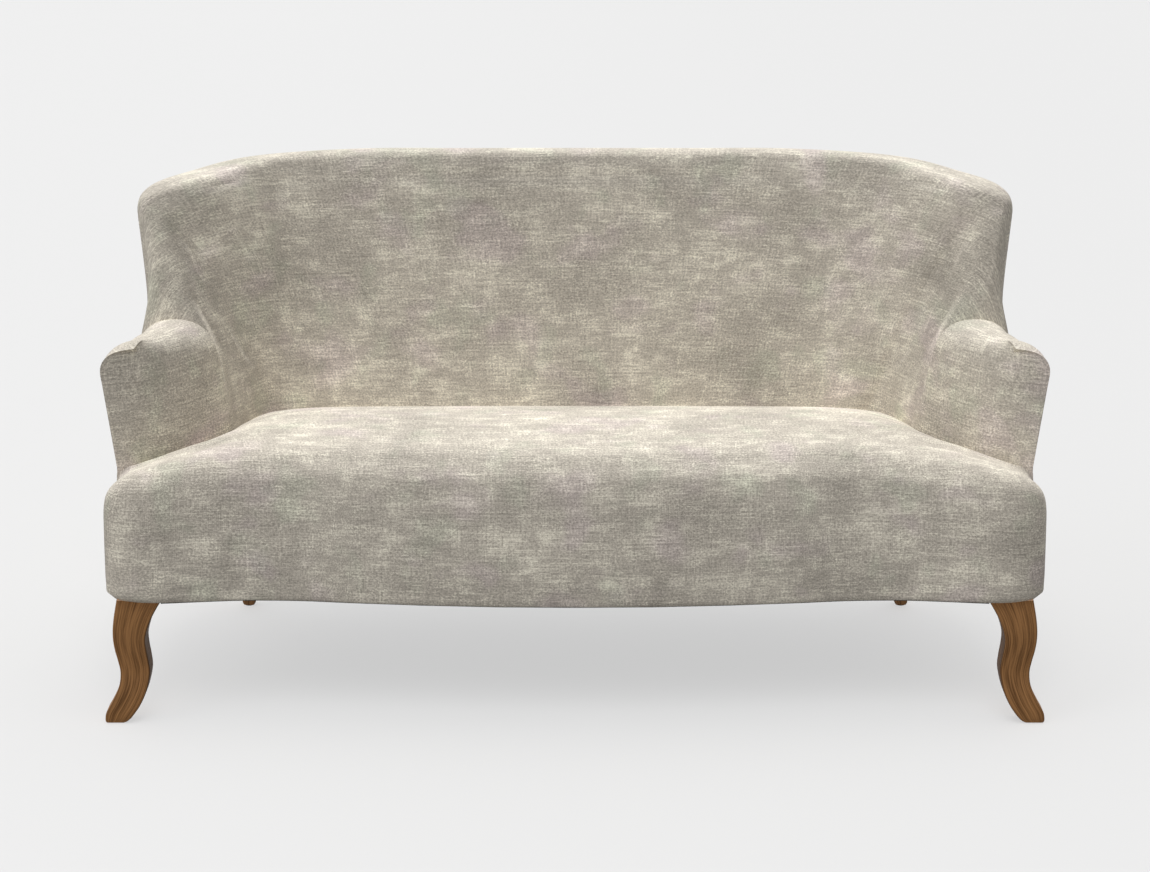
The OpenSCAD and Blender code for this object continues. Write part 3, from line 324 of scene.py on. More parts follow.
def seat_under(w, v):
    """Underside of the seat's foam: straight down behind the front face, then flat over the springs."""
    f = seat_point(w, np.zeros_like(w), SKIN + OUTER_PAD)
    t = seat_point(w, np.full_like(w, 3.0), SKIN)
    k = np.clip((v - 1) / 2, 0, 1)
    flat = f[..., :2] + (t - f)[..., :2] * k[..., None]
    z = HEM + (FOAM_LOW - HEM) * np.clip(v, 0, 1)
    return np.concatenate([flat, z[..., None]], -1)


# ---------------- grids, cloth and meshes
def spread(length, pitch, fine_start, fine_end):
    """Distances along an edge: evenly spaced, with four close steps at a seamed end."""
    close = np.array([0, 0.0012, 0.0028, 0.0050, 0.0085])
    inner = np.linspace(0, length, max(int(length / pitch), 4) + 1)
    low = close if fine_start else np.array([0.0])
    high = length - (close[::-1] if fine_end else np.array([0.0]))
    keep = inner[(inner > low[-1] + 0.4 * pitch) & (inner < high[0] - 0.4 * pitch)]
    return np.concatenate([low, keep, high])


def along(points):
    """Running length along the first axis of a grid of points."""
    steps = np.linalg.norm(np.diff(points, axis=0), axis=-1)
    return np.concatenate([np.zeros((1,) + steps.shape[1:]), np.cumsum(steps, 0)])


def places(line, low, high, pitch, fine_start=True, fine_end=True):
    """Parameters from low to high at which line has evenly spaced points: its running length, inverted."""
    samples = 600
    t = np.linspace(low, high, samples)
    run = along(line(t))
    return np.interp(spread(run[-1], pitch, fine_start, fine_end), run, t)


def shell_faces(n, m):
    """Quads of a closed shell between two n by m grids: both sides and the four rims."""
    k = np.arange(n * m).reshape(n, m)
    a, b, c, d = k[:-1, :-1].ravel(), k[1:, :-1].ravel(), k[1:, 1:].ravel(), k[:-1, 1:].ravel()
    g = n * m
    quads = [np.stack([a, d, c, b], 1), np.stack([a, b, c, d], 1) + g]
    for edge in (k[:, 0], k[-1, :], k[::-1, -1], k[0, ::-1]):
        p, q = edge[:-1], edge[1:]
        quads.append(np.stack([p, q, q + g, p + g], 1))
    return np.concatenate(quads)


def mesh_piece(name, points, faces, uv=None, sharp=None):
    """Mesh object from an array of points and a list of faces, smooth, with a UV in metres. Edges are sharp
    from the angle sharp on, in degrees."""
    mesh = bpy.data.meshes.new(name)
    mesh.from_pydata(points.tolist(), [], faces)
    mesh.polygons.foreach_set("use_smooth", np.ones(len(mesh.polygons), bool))
    if uv is not None:
        loops = np.zeros(len(mesh.loops), np.int32)
        mesh.loops.foreach_get("vertex_index", loops)
        layer = mesh.uv_layers.new(name="metres")
        layer.data.foreach_set("uv", uv[loops].astype(np.float32).ravel())
    mesh.update()
    if sharp:
        mesh.set_sharp_from_angle(angle=math.radians(sharp))
    piece = bpy.data.objects.new(name, mesh)
    bpy.context.scene.collection.objects.link(piece)
    return piece


def blown(outer, inner, pinned, pressure, cap, frames=20):
    """Distance that each outer point of a padded shell moves out when cloth is blown up over its pinned
    edges: Blender's cloth with pressure and no gravity. A hyperbolic tangent eases the distance to cap at
    most, and to a fifth of cap inwards."""
    n, m = outer.shape[:2]
    points = np.concatenate([outer.reshape(-1, 3), inner.reshape(-1, 3)])
    shell = mesh_piece("cloth_trial", points, shell_faces(n, m).tolist())
    held = shell.vertex_groups.new(name="held")
    weights = np.concatenate([pinned.ravel(), np.ones(n * m, bool)])
    held.add(np.nonzero(weights)[0].tolist(), 1.0, "REPLACE")
    trial = shell.modifiers.new("cloth", "CLOTH")
    cloth = trial.settings
    cloth.vertex_group_mass = "held"
    cloth.quality = 6
    cloth.mass = 0.35
    cloth.tension_stiffness = 12
    cloth.compression_stiffness = 12
    cloth.shear_stiffness = 6
    cloth.bending_stiffness = 2.5
    cloth.use_pressure = True
    cloth.uniform_pressure_force = pressure
    cloth.effector_weights.gravity = 0
    trial.collision_settings.use_collision = False
    trial.point_cache.frame_start = 1
    trial.point_cache.frame_end = frames
    scene = bpy.context.scene
    for k in range(1, frames + 1):
        scene.frame_set(k)
    shown = shell.evaluated_get(bpy.context.evaluated_depsgraph_get())
    moved = np.zeros(len(points) * 3, np.float32)
    shown.data.vertices.foreach_get("co", moved)
    moved = moved.reshape(-1, 3)[:n * m].reshape(n, m, 3).astype(float)
    scene.frame_set(1)
    bpy.data.objects.remove(shell)
    du, dv = np.gradient(outer, axis=0), np.gradient(outer, axis=1)
    out = unit(np.cross(dv, du))
    return cap * np.tanh(np.maximum(((moved - outer) * out).sum(-1) / cap, -0.2))


def resampled(field, rows_from, rows_to, cols_from, cols_to):
    """A grid of numbers read at other rows and columns, straight lines between them."""
    half = np.stack([np.interp(cols_to, cols_from, row) for row in field])
    return np.stack([np.interp(rows_to, rows_from, col) for col in half.T], 1)


def seam_dip(distance, depth):
    """How far cloth dips at a seam: depth times the square of what is left of its width of 2.5 depths."""
    width = 2.5 * depth
    return depth * np.clip(1 - distance / width, 0, 1) ** 2


def nets(shape, wide, at_t, low, high, at_s):
    """Two nets of places on a surface, the close one for the piece and a coarse one for its trial in cloth.
    Each is evenly spaced from 0 to wide along the row at_t and from low to high up the column at_s."""
    def across(a):
        return shape(a, np.full_like(a, at_t))

    def up(b):
        return shape(np.full_like(b, at_s), b)
    close = (places(across, 0, wide, PITCH), places(up, low, high, PITCH, False, True))
    coarse = (places(across, 0, wide, TRIAL_PITCH, False, False),
              places(up, low, high, TRIAL_PITCH, False, False))
    return close, coarse


def cushion(name, outer, inner, facing_out, net, seams, eased, pressure, cap, swell=None, mirror=False,
            kept=None):
    """Padded piece from two parameter surfaces: the outer one, blown up like cloth and dipped at its seams,
    and the inner one that it rests on, closed by rims. Edges are called s0, s1, t0 and t1. seams gives the
    depth of the dip at an edge, eased the run over which the blown part eases in from it, and kept the share
    of the dip at s0 that stays."""
    (s, t), (cs, ct) = net
    grid_s, grid_t = np.meshgrid(s, t, indexing="ij")
    points, out = outer(grid_s, grid_t), facing_out(grid_s, grid_t)
    run_s, run_t = along(points), along(points.swapaxes(0, 1)).swapaxes(0, 1)
    edges = {"s0": run_s, "s1": run_s[-1] - run_s, "t0": run_t, "t1": run_t[:, -1:] - run_t}
    gs, gt = np.meshgrid(cs, ct, indexing="ij")
    held = np.ones(gs.shape, bool)
    held[1:-1, 1:-1] = False
    lift = resampled(blown(outer(gs, gt), inner(gs, gt), held, pressure, cap), cs, s, ct, t)
    for edge, run in eased.items():
        u = np.clip(edges[edge] / run, 0, 1)
        lift = lift * (3 * u ** 2 - 2 * u ** 3)
    if swell is not None:
        lift = lift + swell(grid_s, grid_t)
    share = 1 if kept is None else kept(grid_s, grid_t)
    for edge, depth in seams.items():
        lift = lift - seam_dip(edges[edge], depth) * (share if edge == "s0" else 1)
    uv = np.stack(np.broadcast_arrays(run_s.mean(1)[:, None], run_t), -1)
    points = points + out * lift[..., None]
    back = inner(grid_s, grid_t)
    points = np.concatenate([points.reshape(-1, 3), back.reshape(-1, 3)])
    quads = shell_faces(len(s), len(t))
    if mirror:
        points = points * np.array([-1.0, 1, 1])
        quads = quads[:, ::-1]
    uv = uv.reshape(-1, 2)
    return mesh_piece(name, points, quads.tolist(), np.concatenate([uv, uv]), CREASE)


def whole(shape, last):
    """A half's surface continued over the middle plane: beyond last, the mirror image counts back."""
    def both(s, t):
        p = shape(np.where(s > last, 2 * last - s, s), t)
        p[..., 0] = np.where(s > last, -p[..., 0], p[..., 0])
        return p
    return both


def whole_out(half_out, last):
    """A half's outward directions continued over the middle plane, on which they have no part across it."""
    def both(s, t):
        half = np.where(s > last, 2 * last - s, s)
        n = half_out(half, t)
        n[..., 0] = np.where(half >= last, 0, n[..., 0])
        n = unit(n)
        n[..., 0] = np.where(s > last, -n[..., 0], n[..., 0])
        return n
    return both


# ---------------- finishes
def nodes_of(name):
    """Empty material with its principled shader."""
    material = bpy.data.materials.new(name)
    material.use_nodes = True
    tree = material.node_tree
    shader = next(n for n in tree.nodes if n.type == "BSDF_PRINCIPLED")
    return material, tree, shader


def node(tree, kind, values=None, **settings):
    """A node with its settings and input values."""
    made = tree.nodes.new(kind)
    for key, value in settings.items():
        setattr(made, key, value)
    for key, value in (values or {}).items():
        made.inputs[key].default_value = value
    return made


def stretched(tree, source, scale, turn=0.0, shift=(0, 0, 0)):
    """Texture coordinates stretched by a scale, turned and shifted."""
    mapping = node(tree, "ShaderNodeMapping", {"Scale": scale, "Rotation": (0, 0, turn), "Location": shift})
    tree.links.new(source, mapping.inputs["Vector"])
    return mapping.outputs["Vector"]


def noise(tree, vector, scale, detail=3.0, rough=0.5, wander=0.0):
    """Noise value over a vector."""
    made = node(tree, "ShaderNodeTexNoise", {"Scale": scale, "Detail": detail, "Roughness": rough,
                                             "Distortion": wander})
    tree.links.new(vector, made.inputs["Vector"])
    return made.outputs["Fac"]


def ramp(tree, value, low, high, out_low=0.0, out_high=1.0):
    """Value mapped smoothly from one range to another."""
    made = node(tree, "ShaderNodeMapRange", {"From Min": low, "From Max": high, "To Min": out_low,
                                             "To Max": out_high}, interpolation_type="SMOOTHSTEP")
    tree.links.new(value, made.inputs["Value"])
    return made.outputs["Result"]


def sums(tree, kind, a, b):
    """Math node of two values, either of them a number."""
    made = node(tree, "ShaderNodeMath", operation=kind)
    for slot, value in ((0, a), (1, b)):
        if isinstance(value, (int, float)):
            made.inputs[slot].default_value = value
        else:
            tree.links.new(value, made.inputs[slot])
    return made.outputs["Value"]


def mixed(tree, share, a, b, blend="MIX"):
    """Colour mix of a and b by a share; colours are sockets or triples."""
    made = node(tree, "ShaderNodeMix", data_type="RGBA", blend_type=blend, clamp_factor=True)
    for slot, value in ((0, share), (6, a), (7, b)):
        if isinstance(value, (int, float)):
            made.inputs[slot].default_value = value
        elif isinstance(value, tuple):
            made.inputs[slot].default_value = (*value, 1)
        else:
            tree.links.new(value, made.inputs[slot])
    return made.outputs[2]


def layered(tree, first, *shares):
    """A value plus several textures round their middle, each times its share."""
    total = first
    for value, share in shares:
        total = sums(tree, "ADD", total, sums(tree, "MULTIPLY", sums(tree, "SUBTRACT", value, 0.5), share))
    return total


def surfaced(tree, shader, colour, rough, relief, strength, deep):
    """Colour, roughness and relief of a finish led to its shader; the relief is deep metres high."""
    tree.links.new(colour, shader.inputs["Base Color"])
    tree.links.new(rough, shader.inputs["Roughness"])
    bump = node(tree, "ShaderNodeBump", {"Strength": strength, "Distance": deep})
    tree.links.new(relief, bump.inputs["Height"])
    tree.links.new(bump.outputs["Normal"], shader.inputs["Normal"])


def linen(name, ground, cream, shade):
    """Brushed linen-look cloth. Ground cloth of uneven yarns: fine grain plus short streaks along both
    threads. Cream brush patches lie along the weft and fewer along the warp; their edges break up along the
    yarns. Slow clouds change the tone, and there are lilac-grey and green-grey areas. Yarns and patches read
    the piece's UV in metres; clouds and areas read Object coordinates and run on from piece to piece."""
    material, tree, shader = nodes_of(name)
    place = node(tree, "ShaderNodeTexCoord")
    body, cloth = place.outputs["Object"], place.outputs["UV"]
    clouds = noise(tree, stretched(tree, body, (6, 6, 8), 0.0, (3.4, 1.2, 5.1)), 1.0, 3.0, 0.55, 0.3)
    grain = noise(tree, stretched(tree, cloth, (240, 300, 1)), 1.0, 2.0, 0.7)
    weft = noise(tree, stretched(tree, cloth, (26, 290, 1)), 1.0, 3.0, 0.6)
    warp = noise(tree, stretched(tree, cloth, (290, 30, 1)), 1.0, 3.0, 0.6)
    slub = noise(tree, stretched(tree, cloth, (9, 210, 1)), 1.0, 2.0, 0.55)
    flat_patch = noise(tree, stretched(tree, cloth, (14, 32, 1)), 1.0, 3.0, 0.6, 0.15)
    tall_patch = noise(tree, stretched(tree, cloth, (27, 13, 1)), 1.0, 3.0, 0.6, 0.15)
    spots = noise(tree, stretched(tree, cloth, (34, 52, 1)), 1.0, 2.0, 0.5, 0.2)
    across = layered(tree, flat_patch, (weft, 0.45), (grain, 0.3), (slub, 0.3), (clouds, 0.2))
    down = layered(tree, tall_patch, (warp, 0.45), (grain, 0.3), (clouds, 0.2))
    dots = layered(tree, spots, (grain, 0.5), (weft, 0.35))
    brushed = sums(tree, "ADD", ramp(tree, across, 0.46, 0.76, 0.0, 0.55),
                   ramp(tree, down, 0.5, 0.78, 0.0, 0.42))
    brushed = sums(tree, "ADD", brushed, ramp(tree, dots, 0.6, 0.78, 0.0, 0.35))
    deep = layered(tree, clouds, (flat_patch, -0.7), (tall_patch, -0.4), (warp, 0.35), (weft, 0.3))
    colour = mixed(tree, ramp(tree, deep, 0.42, 0.66, 0.0, 0.75), ground, shade)
    colour = mixed(tree, brushed, colour, cream)
    tone = layered(tree, clouds, (grain, 1.6), (weft, 0.7), (warp, 0.6), (slub, 0.35))
    grey = ramp(tree, tone, -0.1, 1.1, 0.55, 1.45)
    level = node(tree, "ShaderNodeCombineColor")
    for slot in range(3):
        tree.links.new(grey, level.inputs[slot])
    colour = mixed(tree, 1.0, colour, level.outputs["Color"], "MULTIPLY")
    lilac = noise(tree, stretched(tree, body, (9, 9, 11), 0.7), 1.0, 2.0, 0.5)
    lilac = ramp(tree, lilac, 0.53, 0.7, 0.0, 0.6)
    colour = mixed(tree, lilac, colour, (1.02, 0.96, 1.06), "MULTIPLY")
    green = noise(tree, stretched(tree, body, (12, 12, 10), 2.1), 1.0, 2.0, 0.5)
    green = ramp(tree, green, 0.54, 0.7, 0.0, 0.55)
    colour = mixed(tree, green, colour, (0.93, 1.0, 0.95), "MULTIPLY")
    shader.inputs["Specular IOR Level"].default_value = 0.12
    shader.inputs["Sheen Weight"].default_value = 0.06
    shader.inputs["Sheen Roughness"].default_value = 0.5
    shader.inputs["Sheen Tint"].default_value = (1.0, 0.97, 0.92, 1)
    yarns = {"Scale": 95.0, "Distortion": 1.2, "Detail": 2.0, "Detail Scale": 3.0}
    over = node(tree, "ShaderNodeTexWave", yarns, bands_direction="X")
    under = node(tree, "ShaderNodeTexWave", yarns, bands_direction="Y")
    for wave in (over, under):
        tree.links.new(cloth, wave.inputs["Vector"])
    weave = sums(tree, "MULTIPLY", over.outputs["Fac"], under.outputs["Fac"])
    relief = layered(tree, weave, (grain, 0.8), (weft, 1.0), (warp, 0.8))
    surfaced(tree, shader, colour, ramp(tree, tone, 0.0, 1.0, 0.95, 0.82), relief, 0.35, 0.001)
    return material


def grained(name, light, dark, along_uv, rough, scale=1.0, cloudy=0.3):
    """Wood: long grain lines and pores stretched along the piece, over a slow change of tone by cloudy. Where
    a piece carries its attribute of painted shade, the wood is darker: painted shade on a leg's inner flat."""
    material, tree, shader = nodes_of(name)
    place = node(tree, "ShaderNodeTexCoord")
    source = place.outputs["UV"] if along_uv else place.outputs["Object"]
    stretch = (620 * scale, 7 * scale, 1) if along_uv else (7 * scale, 60 * scale, 60 * scale)
    lines = noise(tree, stretched(tree, source, stretch), 1.0, 4.0, 0.62, 0.3)
    fine = noise(tree, stretched(tree, source, tuple(2.6 * v for v in stretch)), 1.0, 3.0, 0.6)
    slow = noise(tree, place.outputs["Object"], 9.0 * scale, 2.0, 0.5)
    tone = sums(tree, "ADD", ramp(tree, lines, 0.28, 0.72, 0.0, 0.6), ramp(tree, fine, 0.3, 0.7, 0.0, 0.2))
    tone = sums(tree, "ADD", tone, ramp(tree, slow, 0.3, 0.7, 0.0, cloudy))
    colour = mixed(tree, ramp(tree, tone, 0.1, 0.65 + cloudy), dark, light)
    # Painted shade: the wood is darkened where a leg's inner flat faces away from the lamps.
    depth = node(tree, "ShaderNodeAttribute", attribute_name="inner_side_shade")
    colour = mixed(tree, sums(tree, "MULTIPLY", depth.outputs["Fac"], 0.72), colour, (0.03, 0.014, 0.008))
    shader.inputs["Specular IOR Level"].default_value = 0.12
    surfaced(tree, shader, colour, ramp(tree, lines, 0.2, 0.8, rough + 0.08, rough - 0.05), tone, 0.15,
             0.0006)
    return material


def metal(name, colour, rough):
    """Plated or drawn steel: faint streaks and cloudy wear in tone and roughness."""
    material, tree, shader = nodes_of(name)
    place = node(tree, "ShaderNodeTexCoord")
    cloud = noise(tree, place.outputs["Object"], 60.0, 4.0, 0.6)
    streak = noise(tree, stretched(tree, place.outputs["Object"], (900, 900, 60)), 1.0, 2.0, 0.5)
    tone = sums(tree, "ADD", ramp(tree, cloud, 0.3, 0.7, 0.0, 0.7), ramp(tree, streak, 0.3, 0.7, 0.0, 0.3))
    dark = tuple(0.72 * c for c in colour)
    tree.links.new(mixed(tree, tone, dark, colour), shader.inputs["Base Color"])
    tree.links.new(ramp(tree, tone, 0.0, 1.0, rough + 0.12, rough - 0.06), shader.inputs["Roughness"])
    shader.inputs["Metallic"].default_value = 1.0
    return material


def felted(name, colour, fleck, scale, rough=0.95, relief=0.0008):
    """Non-woven stuff such as felt, wadding, foam or dust cloth: flecks and pits of one size."""
    material, tree, shader = nodes_of(name)
    place = node(tree, "ShaderNodeTexCoord")
    cells = node(tree, "ShaderNodeTexVoronoi", {"Scale": scale, "Randomness": 1.0})
    tree.links.new(place.outputs["Object"], cells.inputs["Vector"])
    cloud = noise(tree, place.outputs["Object"], scale / 6, 4.0, 0.65)
    tone = sums(tree, "ADD", ramp(tree, cells.outputs["Distance"], 0.0, 0.9, 0.0, 0.5),
                ramp(tree, cloud, 0.3, 0.7, 0.0, 0.5))
    shader.inputs["Specular IOR Level"].default_value = 0.15
    surfaced(tree, shader, mixed(tree, tone, colour, fleck), ramp(tree, tone, 0.0, 1.0, rough, rough - 0.1),
             tone, 0.4, relief)
    return material


def webbed(name, colour, stripe):
    """Woven elastic webbing: ribs across its length and a pair of darker stripes."""
    material, tree, shader = nodes_of(name)
    place = node(tree, "ShaderNodeTexCoord")
    ribs = node(tree, "ShaderNodeTexWave", {"Scale": 120.0, "Distortion": 0.6}, bands_direction="Z")
    lines = node(tree, "ShaderNodeTexWave", {"Scale": 18.0, "Distortion": 0.2}, bands_direction="X")
    for wave in (ribs, lines):
        tree.links.new(place.outputs["Object"], wave.inputs["Vector"])
    tone = mixed(tree, ramp(tree, lines.outputs["Fac"], 0.75, 0.9), colour, stripe)
    tone = mixed(tree, ramp(tree, ribs.outputs["Fac"], 0.2, 0.8, 0.0, 0.35), tone, (0.04, 0.04, 0.04))
    surfaced(tree, shader, tone, ramp(tree, ribs.outputs["Fac"], 0.0, 1.0, 0.9, 0.75), ribs.outputs["Fac"],
             0.5, 0.0006)
    return material


upholstery = linen("sofa_linen", (0.54, 0.494, 0.425), (0.74, 0.698, 0.583), (0.445, 0.408, 0.35))
leg_finish = grained("leg_varnish", (0.345, 0.172, 0.066), (0.1, 0.044, 0.014), True, 0.55, 1.0, 0.12)
beech = grained("planed_beech", (0.62, 0.45, 0.27), (0.45, 0.31, 0.17), False, 0.6)
beech_block = grained("beech_blocks", (0.66, 0.5, 0.31), (0.5, 0.35, 0.2), False, 0.65, 1.6)
zinc = metal("zinc_plate", (0.68, 0.69, 0.7), 0.38)
drawn_steel = metal("drawn_steel", (0.42, 0.43, 0.45), 0.42)
nylon = felted("black_nylon", (0.03, 0.03, 0.032), (0.05, 0.05, 0.052), 500.0, 0.6, 0.0002)
webbing = webbed("elastic_webbing", (0.2, 0.19, 0.17), (0.06, 0.055, 0.05))
felt = felted("needled_felt", (0.3, 0.29, 0.27), (0.46, 0.44, 0.41), 260.0)
foam = felted("cut_foam", (0.78, 0.7, 0.42), (0.88, 0.82, 0.55), 420.0)
dust_cloth = felted("black_dust_cloth", (0.02, 0.02, 0.021), (0.045, 0.045, 0.047), 700.0, 0.9, 0.0003)

FINISH = {"frame_wood": beech, "block_wood": beech_block, "leg_wood": leg_finish, "plated_steel": zinc,
          "spring_steel": drawn_steel, "glide": nylon, "webbing": webbing, "felt": felt, "foam": foam,
          "wadding": foam, "dust_cloth": dust_cloth, "fabric": upholstery, "outside_fabric": upholstery}
for part in frame["record"]["subparts"]:
    for holder in frame["nodes"][part["node"]].material_slots:
        holder.material = FINISH[part["material_slot"]]


# ---------------- upholstered pieces
def dressed(piece, finish, slot_name, fill, *stands_for):
    """Gives a piece its finish and body and hides the nodes that it stands for; slot_name and fill are not
    used.
    """
    piece.data.materials.append(finish)
    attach(piece, "root")
    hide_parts(*stands_for)


# Place of the outside seam over arm and back, where 1 is the crest and 2 the outside foot
ARM_TURN = 1.38
BACK_TURN = 1.42
# Spacing of the points of a piece and of its trial in cloth, and the angle of a sharp edge in degrees
PITCH = 0.008
TRIAL_PITCH = 0.018
CREASE = 50
# Depth of an open seam and of a hidden one, and the runs over which blown cloth eases in
DEEP = 0.0022
FINE = 0.0002
EASE = 0.1
FRONT_EASE = 0.02
# Height at which the swell of arm and back ends, and the stations that it takes in from a wing
SWELL_TOP = 0.9
SWELL_IN = 4
# Height from which the dip of the arm's front seam is gone, and the run over which it goes
DIP_END = 0.62
DIP_RUN = 0.3
# Radius at the hem: of the outside panels, then of the seat at two places of its front
PANEL_HEM = 0.008
SEAT_HEM = ([4, 6], [0.013, 0.0055])


def drop(shape):
    """A cover's surface continued straight down below the tuck line, where t is below 0."""
    def point(s, t):
        p = shape(s, np.maximum(t, 0))
        p[..., 2] += np.minimum(t, 0) * TUCK_DROP
        return p
    return point


# Covers of arm and back from the tuck line up and over the crest, faces of both, and the hollow of the back
arm_over, back_over = partial(over_point, ARM_ROWS), partial(over_point, BACK_ROWS)
arm_inside = partial(inside_point, ARM_ROWS)
arm_outside, back_outside = partial(outside_point, ARM_ROWS), partial(outside_point, BACK_ROWS)
back_hollow = partial(hollow_point, BACK_ROWS)


def arm_out(s, t):
    """Outward direction of the arm's cover, shared with the outside at the front edge and with the wing."""
    n = facing(arm_over, s, np.maximum(t, 0), ARM_LAST, (0, 2), 1)
    h = np.where(t <= 1, np.clip(t, 0, 1), np.clip(2 - t, 0, 1))
    twin = facing(arm_outside, s, h, ARM_LAST, (-1, 1), -1)
    mate = facing(arm_inside, s, h, ARM_LAST, (0, 1), 1)
    other = np.where((t <= 1)[..., None], twin, mate)
    n = np.where((s <= 0)[..., None], unit(n + other), n)
    wing = facing(back_over, np.zeros_like(s), np.maximum(t, 0), BACK_LAST, (0, 2), 1)
    return np.where((s >= ARM_LAST)[..., None], unit(n + wing), n)


def half_back_out(s, t):
    """Outward direction of half the inside back's cover, shared with the arm at the wing seam."""
    n = facing(back_over, s, np.maximum(t, 0), BACK_LAST, (0, 2), 1)
    arm = facing(arm_over, np.full_like(s, ARM_LAST), np.maximum(t, 0), ARM_LAST, (0, 2), 1)
    return np.where((s <= 0)[..., None], unit(n + arm), n)


def arm_swell(s, t):
    """Swell of the arm's face: half a sine both ways, on the inside only."""
    return ARM_SWELL * np.sin(np.pi * s / ARM_LAST) * np.sin(np.pi * np.clip(t / SWELL_TOP, 0, 1))


def back_swell(s, t):
    """Swell of the inside back: a quarter sine in from each wing, half a sine upwards."""
    half = np.where(s > BACK_LAST, 2 * BACK_LAST - s, s)
    upwards = np.sin(np.pi * np.clip(t / SWELL_TOP, 0, 1))
    return BACK_SWELL * np.sin(np.pi / 2 * np.clip(half / SWELL_IN, 0, 1)) * upwards


def arm_hollow(s, t):
    """The hollow behind the arm's cover, which starts a little way behind the arm's front edge."""
    start = 0.9
    return hollow_point(ARM_ROWS, start + (ARM_LAST - start) * s / ARM_LAST, t)


def off_the_crest(s, t):
    """Share of the front seam's dip: all of it on the lower arm, less and less from there to the roll."""
    return np.clip((DIP_END - t) / DIP_RUN, 0, 1)


def arm_piece(name, mirror, *stands_for):
    """Inside arm cover with its foam: from under the seat up, over the roll and down to the outside seam."""
    outer = drop(arm_over)
    piece = cushion(name, outer, drop(arm_hollow), arm_out, nets(outer, ARM_LAST, 0.5, -1, ARM_TURN, 2.0),
                    {"s0": DEEP, "s1": FINE, "t1": DEEP}, {"s0": FRONT_EASE, "s1": EASE}, pressure=2.0,
                    cap=0.004, swell=arm_swell, mirror=mirror, kept=off_the_crest)
    dressed(piece, upholstery, "fabric", 0.9, *stands_for)


def outside_depth(s, h, rows, depth):
    """Outside face set in by a depth along its level direction."""
    p = outside_point(rows, s, h)
    p[..., :2] -= foot_facing(rows, s, False)[..., :2] * depth
    return p


def hem_turn(shape, out, radius):
    """A panel whose lower edge turns in round a quarter circle at the hem: below h = -1 the angle grows."""
    def point(s, h):
        p = shape(s, np.maximum(h, -1))
        a = np.clip(-1 - h, 0, 1) * np.pi / 2
        n = out(s, np.full_like(h, -0.5))
        p[..., :2] -= n[..., :2] * (radius * (1 - np.cos(a)))[..., None]
        p[..., 2] += radius * np.where(h < -1, 1 - np.sin(a), np.clip(-h, 0, 1))
        return p
    return point


def outside_arm_piece(name, mirror, *stands_for):
    """Outside arm panel with its wadding, from the hem up to the seam under the roll."""
    def out(s, h):
        n = facing(arm_outside, s, np.maximum(h, -1), ARM_LAST, (-1, 1), -1)
        mate = facing(arm_inside, s, np.clip(h, 0, 1), ARM_LAST, (0, 1), 1)
        n = np.where((s <= 0)[..., None], unit(n + mate), n)
        wing = facing(back_outside, np.zeros_like(s), np.maximum(h, -1), BACK_LAST, (-1, 1), -1)
        return np.where((s >= ARM_LAST)[..., None], unit(n + wing), n)

    def flipped_shape(s, h):
        return hem_turn(arm_outside, out, PANEL_HEM)(ARM_LAST - s, h)

    def flipped_out(s, h):
        return out(ARM_LAST - s, h)

    def inner(s, h):
        start = 0.5
        c = (ARM_LAST - s) * (ARM_LAST - start) / ARM_LAST + start
        return outside_depth(c, np.maximum(h, -1), ARM_ROWS, SKIN + OUTER_PAD)
    net = nets(flipped_shape, ARM_LAST, 0.0, -2, 2 - ARM_TURN, 2.0)
    piece = cushion(name, flipped_shape, inner, flipped_out, net, {"s0": FINE, "s1": DEEP, "t1": DEEP},
                    {"s0": EASE}, pressure=1.0, cap=0.002, mirror=mirror)
    dressed(piece, upholstery, "outside_fabric", 0.8, *stands_for)


def back_piece():
    """Inside back and wings in one cover over foam, up, over the top and down to the outside seam."""
    outer = whole(drop(back_over), BACK_LAST)
    net = nets(outer, 2 * BACK_LAST, 0.5, -1, BACK_TURN, 6.0)
    piece = cushion("back_pad", outer, whole(drop(back_hollow), BACK_LAST),
                    whole_out(half_back_out, BACK_LAST), net, {"s0": FINE, "s1": FINE, "t1": DEEP},
                    {"s0": EASE, "s1": EASE}, pressure=2.5, cap=0.006, swell=back_swell)
    dressed(piece, upholstery, "fabric", 0.9, "back_foam", "inside_back_cover")


def outside_back_piece():
    """Outside back panel with its wadding, from the hem up to the seam under the crest."""
    def half_out(s, h):
        n = facing(back_outside, s, np.maximum(h, -1), BACK_LAST, (-1, 1), -1)
        arm = facing(arm_outside, np.full_like(s, ARM_LAST), np.maximum(h, -1), ARM_LAST, (-1, 1), -1)
        return np.where((s <= 0)[..., None], unit(n + arm), n)
    both_out = whole_out(half_out, BACK_LAST)

    def out(s, h):
        return both_out(2 * BACK_LAST - s, h)

    def outer(s, h):
        return whole(hem_turn(back_outside, both_out, PANEL_HEM), BACK_LAST)(2 * BACK_LAST - s, h)

    def inner(s, h):
        return whole(lambda a, b: outside_depth(a, np.maximum(b, -1), BACK_ROWS, SKIN + OUTER_PAD),
                     BACK_LAST)(2 * BACK_LAST - s, h)
    net = nets(outer, 2 * BACK_LAST, 0.0, -2, 2 - BACK_TURN, 9.0)
    piece = cushion("outside_back", outer, inner, out, net, {"s0": FINE, "s1": FINE, "t1": DEEP},
                    {"s0": EASE, "s1": EASE}, pressure=1.0, cap=0.003)
    dressed(piece, upholstery, "outside_fabric", 0.8, "back_outer_pad", "outside_back_cover")


